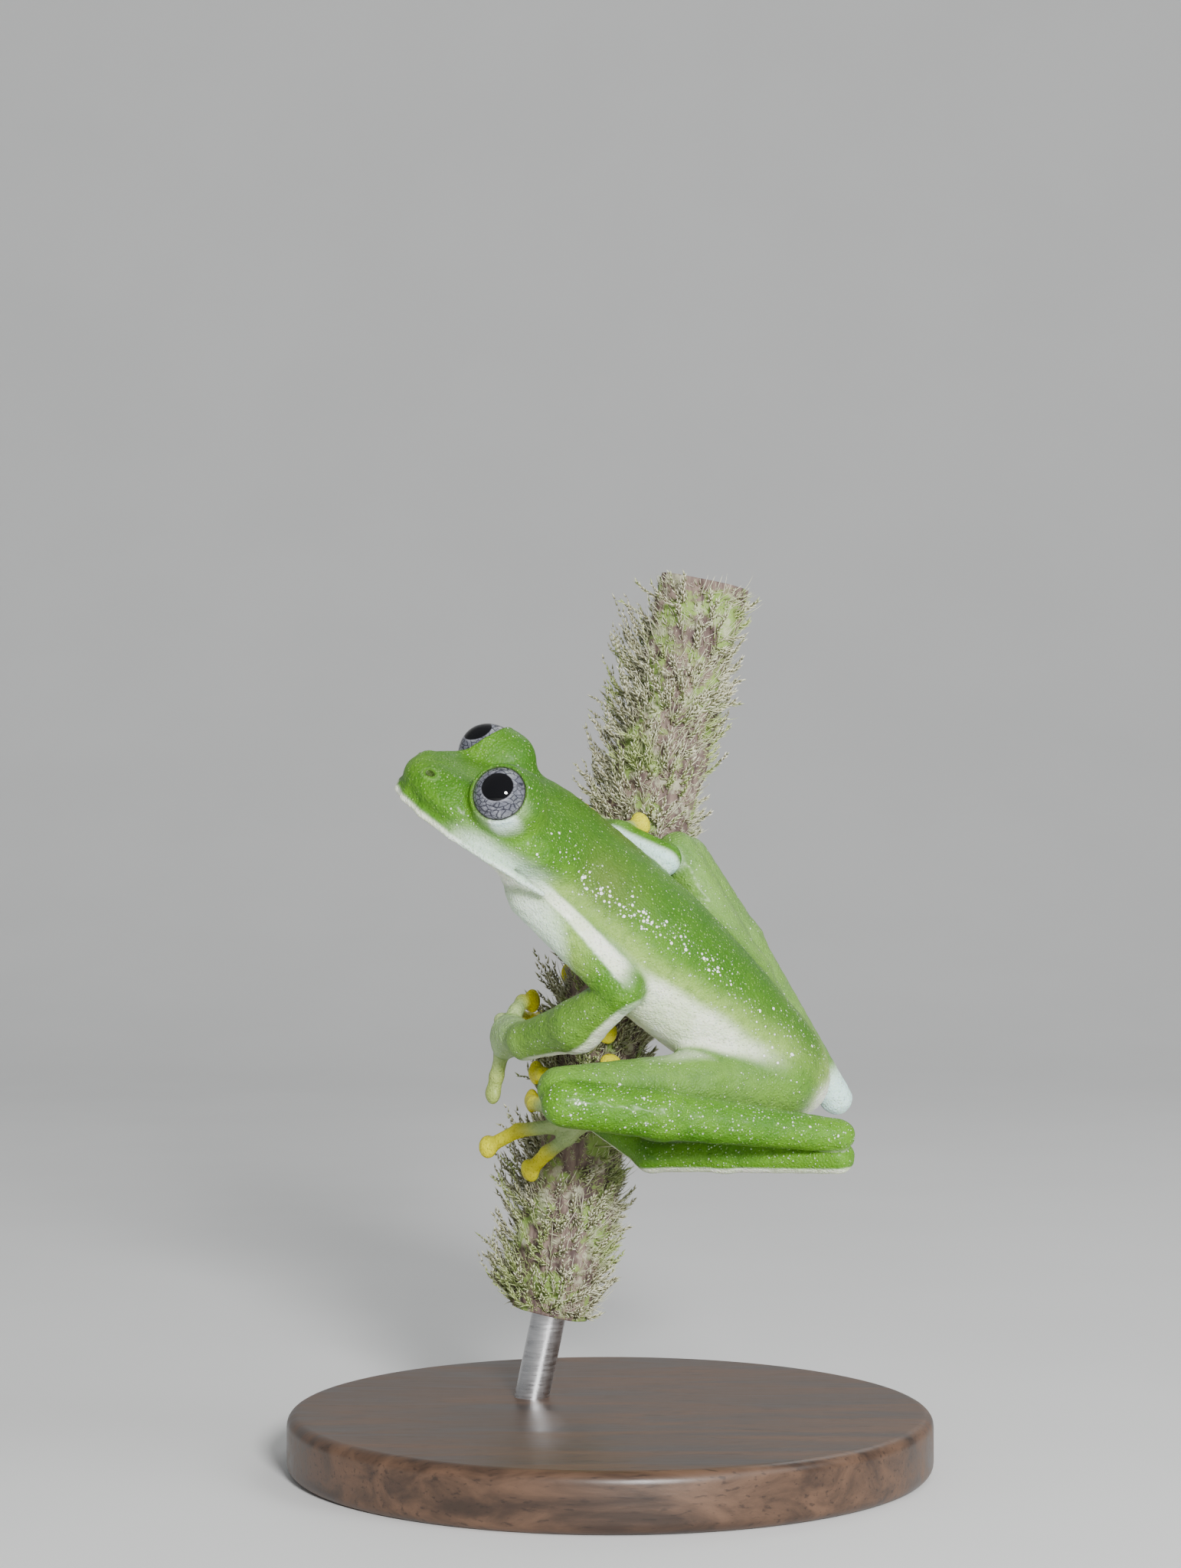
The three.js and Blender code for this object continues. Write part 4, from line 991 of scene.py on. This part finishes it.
def strands(name, count, length, width, segs, lift, curl, seed, zlo, zhi, density=None, sides=3):
    """Tapered, curved, closed strands rooted on the stem, as the points and faces of one mesh; moss_piece gives each a
    small patch of UV.
    """
    r = np.random.default_rng(seed)
    z = r.uniform(zlo, zhi, count * 2)
    a = r.uniform(0, 2 * np.pi, count * 2)
    w = np.ones(len(z)) if density is None else density(z, a)
    keep = r.random(len(z)) < w
    z, a = z[keep][:count], a[keep][:count]
    n = len(z)
    root = stem_point(z, a, -0.06)
    out = root - stem_axis(root[:, 2])
    out -= (out @ STEM_DIR)[:, None] * STEM_DIR
    out /= np.linalg.norm(out, axis=-1, keepdims=True)
    tang = np.cross(np.broadcast_to(STEM_DIR, out.shape), out)
    L = length[0] + (length[1] - length[0]) * r.random(n) ** 1.6
    d = out * 1.0 + STEM_DIR * r.normal(lift[0], lift[1], n)[:, None] + tang * r.normal(0, 0.5, n)[:, None]
    d /= np.linalg.norm(d, axis=-1, keepdims=True)
    bend = STEM_DIR * r.normal(curl[0], curl[1], n)[:, None] + tang * r.normal(0, curl[1], n)[:, None]
    ts = np.linspace(0, 1, segs + 1)
    rings = []
    for i, t in enumerate(ts):
        c = root + d * (L * t)[:, None] + bend * (L * t * t * 0.5)[:, None]
        tan = d + bend * t
        tan /= np.linalg.norm(tan, axis=-1, keepdims=True)
        u = np.cross(tan, tang + out * 0.3)
        u /= np.linalg.norm(u, axis=-1, keepdims=True)
        v = np.cross(tan, u)
        rad = (width[0] + (width[1] - width[0]) * r.random(n)) if i == 0 else rad
        rr_ = rad * (1 - 0.85 * t)
        if i < segs:
            for k in range(sides):
                ang = 2 * np.pi * k / sides
                rings.append(c + (u * math.cos(ang) + v * math.sin(ang)) * rr_[:, None])
        else:
            rings.append(c)
    per = segs * sides + 1
    verts = np.stack(rings, 1).reshape(-1, 3)
    one = []
    for i in range(segs - 1):
        for k in range(sides):
            k2 = (k + 1) % sides
            one += [[i * sides + k, i * sides + k2, (i + 1) * sides + k2], [i * sides + k, (i + 1) * sides + k2, (i + 1) * sides + k]]
    for k in range(sides):
        one.append([(segs - 1) * sides + k, (segs - 1) * sides + (k + 1) % sides, segs * sides])
    one += [[0, 2, 1]] if sides == 3 else [[0, 2, 1], [0, 3, 2]]
    one = np.array(one)
    faces = (one[None] + (np.arange(n) * per)[:, None, None]).reshape(-1, 3)
    return verts, faces, per, n, z, a, ts, r


def moss_piece(name, mat, verts, faces, per, n, z, a, ts, r, segs, sides):
    ob = mesh_object(name, verts, faces)
    t = np.concatenate([np.repeat(ts[:-1], sides), [1.0]])
    attribute(ob, "tip", np.tile(t, n))
    attribute(ob, "tint", np.repeat(r.random(n), per))
    uv = ob.data.uv_layers.new(name="OFBake")
    u0 = a / (2 * np.pi) * 0.98 + 0.005
    v0 = (z - STEM_FOOT[2]) / (STEM_HEAD[2] - STEM_FOOT[2]) * 0.98 + 0.005
    du = np.concatenate([np.tile(np.arange(sides) / sides, len(ts) - 1), [0.5]]) * 0.003
    dv = t * 0.003
    U = (u0[:, None] + du[None]).ravel()
    Vv = (v0[:, None] + dv[None]).ravel()
    idx = np.empty(len(ob.data.loops), np.int32)
    ob.data.loops.foreach_get("vertex_index", idx)
    uv.data.foreach_set("uv", np.stack([U[idx], Vv[idx]], 1).astype(np.float32).ravel())
    ob.data.materials.append(mat)
    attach(ob, "root")
    return ob


M = Nodes("moss")
tip_a, tint_a = M.attr("tip"), M.attr("tint")
c0 = M.mix(tint_a, (0.15, 0.15, 0.06), (0.28, 0.25, 0.14))
c1 = M.mix(tint_a, (0.50, 0.52, 0.32), (0.80, 0.78, 0.60))
mc = M.mix(M.ramp(tip_a, 0.0, 0.8), c0, c1)
mc = M.mix(M.ramp(M.noise(330, 3), 0.50, 0.62, 0.0, 0.6), mc, (0.34, 0.46, 0.10))
M.set(Base_Color=mc, Roughness=M.ramp(M.noise(4000, 2), 0.3, 0.7, 0.6, 0.85))
M.set(Normal=M.bump(M.noise(9000, 2), 0.3, 0.00002))
M.bsdf.inputs["Subsurface Weight"].default_value = 0.0


def clear_of_frog(verts, per, n, gap=0.02):
    """True for each strand that keeps clear of the frog by more than gap; the others are dropped."""
    d = np.full(len(verts), 9.0)
    m = np.all((verts > LO) & (verts < HI), axis=-1)
    d[m] = creature(verts[m])
    return d.reshape(n, per).min(1) > gap


def patchy(z, a):
    p = stem_point(z, a)
    return np.clip(0.62 + 0.5 * smooth_noise(p, 51, 5.0), 0.12, 1)


k = 1.0
sets = [
    ("moss_short_a", int(9000 * k), (0.18, 0.5), (0.028, 0.05), 3, (0.3, 0.5), (0.7, 0.6), 61, None),
    ("moss_short_b", int(7000 * k), (0.18, 0.5), (0.028, 0.05), 3, (0.2, 0.5), (0.8, 0.7), 62, patchy),
    ("moss_long_a", int(2200 * k), (0.5, 1.3), (0.034, 0.055), 5, (0.45, 0.35), (1.0, 0.6), 63, patchy),
]
for name, seed in (("moss_plume_a", 71), ("moss_plume_b", 72), ("moss_plume_c", 73)):
    LEAVES = 14
    v, f, per, n, z, a, ts, r = plumes(int(420 * k), (1.0, 2.5), LEAVES, seed, STEM_FOOT[2] + 0.1, STEM_HEAD[2] - 0.9, lambda z, a: patchy(z, a) * (0.55 + 0.45 * (0.5 - 0.5 * np.cos(a))))
    m = np.all((v > LO) & (v < HI), axis=-1)
    d = np.full(len(v), 9.0)
    d[m] = creature(v[m])
    ok = np.repeat((d.reshape(-1, per * LEAVES).min(1) > 0.02) & (v[:, 2].reshape(-1, per * LEAVES).max(1) < STEM_HEAD[2] + 0.5), LEAVES)
    v = v.reshape(n, per, 3)[ok].reshape(-1, 3)
    n2 = int(ok.sum())
    moss_piece(name, M.m, v, f[: len(f) // n * n2], per, n2, z[ok], a[ok], ts, r, 2, 3)
for name, count, length, width, segs, lift, curl, seed, dens in sets:
    v, f, per, n, z, a, ts, r = strands(name, count, length, width, segs, lift, curl, seed, STEM_FOOT[2] + 0.05, STEM_HEAD[2] - 0.25, dens)
    ok = clear_of_frog(v, per, n) & (v.reshape(n, per, 3)[:, :, 2].max(1) < STEM_HEAD[2] + 0.5)
    v = v.reshape(n, per, 3)[ok].reshape(-1, 3)
    n2 = int(ok.sum())
    f = f[: len(f) // n * n2]
    moss_piece(name, M.m, v, f, per, n2, z[ok], a[ok], ts, r, segs, 3)


# ------------------------------------------------------------------ the stand
def lathe(name, profile, seg, at=(0, 0)):
    v, f = [], []
    for r_, z_ in profile:
        if r_ == 0:
            v.append([at[0], at[1], z_])
        else:
            v += [[at[0] + r_ * math.cos(2 * math.pi * i / seg), at[1] + r_ * math.sin(2 * math.pi * i / seg), z_] for i in range(seg)]
    start, idx = [], 0
    for r_, _ in profile:
        start.append(idx)
        idx += 1 if r_ == 0 else seg
    for i in range(len(profile) - 1):
        for j in range(seg):
            k2 = (j + 1) % seg
            if profile[i][0] == 0:
                f.append([start[i], start[i + 1] + k2, start[i + 1] + j])
            elif profile[i + 1][0] == 0:
                f.append([start[i] + j, start[i] + k2, start[i + 1]])
            else:
                f.append([start[i] + j, start[i] + k2, start[i + 1] + k2, start[i + 1] + j])
    me = bpy.data.meshes.new(name)
    me.from_pydata((np.array(v) * MM).tolist(), [], f)
    me.polygons.foreach_set("use_smooth", np.ones(len(me.polygons), bool))
    ob = bpy.data.objects.new(name, me)
    bpy.context.collection.objects.link(ob)
    return ob


BR, BT, BV = 16.5, 3.0, 0.6
prof = [(0, 0), (BR * 0.5, 0), (BR - BV - 0.05, 0), (BR - BV, 0.0)]
prof += [(BR - BV + BV * math.sin(t), BV - BV * math.cos(t)) for t in np.linspace(0.15, math.pi / 2, 7)]
prof += [(BR - BV + BV * math.cos(t), BT - BV + BV * math.sin(t)) for t in np.linspace(0.0, math.pi / 2 - 0.15, 7)]
prof += [(BR - BV, BT), (BR - BV - 0.05, BT), (BR * 0.8, BT), (BR * 0.5, BT), (BR * 0.2, BT), (0, BT)]
base_ob = lathe("base_turned", prof, 128, (-0.5, -3.5))
Wd = Nodes("base_wood")
mp = Wd.new("ShaderNodeMapping")
Wd.put(mp.inputs["Vector"], Wd.pos)
mp.inputs["Scale"].default_value = (0.16, 1, 1)
grain = Wd.noise(620, 6, 0.62, vec=mp.outputs[0], distortion=0.6)
pores = Wd.noise(5200, 3, 0.5, vec=mp.outputs[0])
wc = Wd.mix(Wd.ramp(grain, 0.3, 0.7), (0.035, 0.020, 0.013), (0.12, 0.065, 0.038))
wc = Wd.mix(Wd.ramp(pores, 0.58, 0.7, 0, 0.6), wc, (0.018, 0.010, 0.007))
Wd.set(Base_Color=wc, Roughness=Wd.ramp(grain, 0.3, 0.7, 0.34, 0.48))
Wd.set(Normal=Wd.bump(Wd.math("ADD", grain, Wd.math("MULTIPLY", pores, 0.5)), 0.25, 0.00005))
base_ob.data.materials.append(Wd.m)
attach(base_ob, "root")
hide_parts("stand_base")

rod_top = stem_axis(STEM_FOOT[2]) + STEM_DIR * 4.5
rod_foot = stem_axis(STEM_FOOT[2]) - STEM_DIR * ((STEM_FOOT[2] - BT + 1.4) / STEM_DIR[2])
RL = float(np.linalg.norm(rod_top - rod_foot))
RR = 0.9
prof = [(0, 0), (RR - 0.08, 0), (RR, 0.08), (RR, 0.12), (RR, RL * 0.5), (RR, RL - 0.12), (RR, RL - 0.08), (RR - 0.08, RL), (0, RL)]
rod_ob = lathe("rod_round", prof, 48)
R4 = Vector((0, 0, 1)).rotation_difference(Vector(STEM_DIR)).to_matrix().to_4x4()
rod_ob.data.transform(Matrix.Translation(Vector(rod_foot * MM)) @ R4)
Rm = Nodes("rod_steel")
mp = Rm.new("ShaderNodeMapping")
Rm.put(mp.inputs["Vector"], Rm.pos)
mp.inputs["Scale"].default_value = (0.3, 0.3, 3.0)
br = Rm.noise(3000, 4, 0.6, vec=mp.outputs[0])
Rm.set(Base_Color=Rm.mix(Rm.ramp(br, 0.3, 0.7), (0.50, 0.50, 0.51), (0.66, 0.66, 0.67)), Roughness=Rm.ramp(br, 0.3, 0.7, 0.25, 0.4))
Rm.set(Normal=Rm.bump(br, 0.2, 0.00002))
Rm.bsdf.inputs["Metallic"].default_value = 1.0
rod_ob.data.materials.append(Rm.m)
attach(rod_ob, "root")
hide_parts("stand_rod")

# ------------------------------------------------------------------ floor and light
floor_me = bpy.data.meshes.new("floor")
# a floor that turns up into a wall behind, in one sweep
path = [(-1.0, 0.0), (0.22, 0.0)] + [(0.22 + 0.2 * math.sin(t), 0.2 - 0.2 * math.cos(t)) for t in np.linspace(0, math.pi / 2, 17)[1:]] + [(0.42, 1.2)]
floor_me.from_pydata([(x, y, z) for y, z in path for x in (-1.5, 1.5)], [], [(2 * i, 2 * i + 1, 2 * i + 3, 2 * i + 2) for i in range(len(path) - 1)])
floor_me.polygons.foreach_set("use_smooth", np.ones(len(floor_me.polygons), bool))
floor = bpy.data.objects.new("floor", floor_me)
bpy.context.collection.objects.link(floor)
F = Nodes("floor")
F.set(Base_Color=F.mix(F.ramp(F.noise(40, 3), 0.3, 0.7), (0.74, 0.74, 0.73), (0.76, 0.76, 0.75)), Roughness=0.8)
floor.data.materials.append(F.m)

world = bpy.data.worlds.new("world")
bpy.context.scene.world = world
world.use_nodes = True
bg = world.node_tree.nodes["Background"]
bg.inputs[0].default_value = (0.86, 0.88, 0.9, 1)
bg.inputs[1].default_value = 0.45


def area(name, loc, target, size, power, colour=(1, 1, 1)):
    d = bpy.data.lights.new(name, "AREA")
    d.shape = "DISK"
    d.size = size
    d.energy = power
    d.color = colour
    o = bpy.data.objects.new(name, d)
    bpy.context.collection.objects.link(o)
    o.location = loc
    o.rotation_euler = (Vector(target) - Vector(loc)).to_track_quat("-Z", "Y").to_euler()
    return o


area("key", (0.06, -0.27, 0.11), (0, 0, 0.025), 0.05, 1.35)
area("fill", (0.22, -0.12, 0.20), (0, 0, 0.025), 0.16, 0.28, (0.95, 0.98, 1))
area("rim", (0.10, 0.16, 0.20), (0, 0, 0.03), 0.12, 0.10)
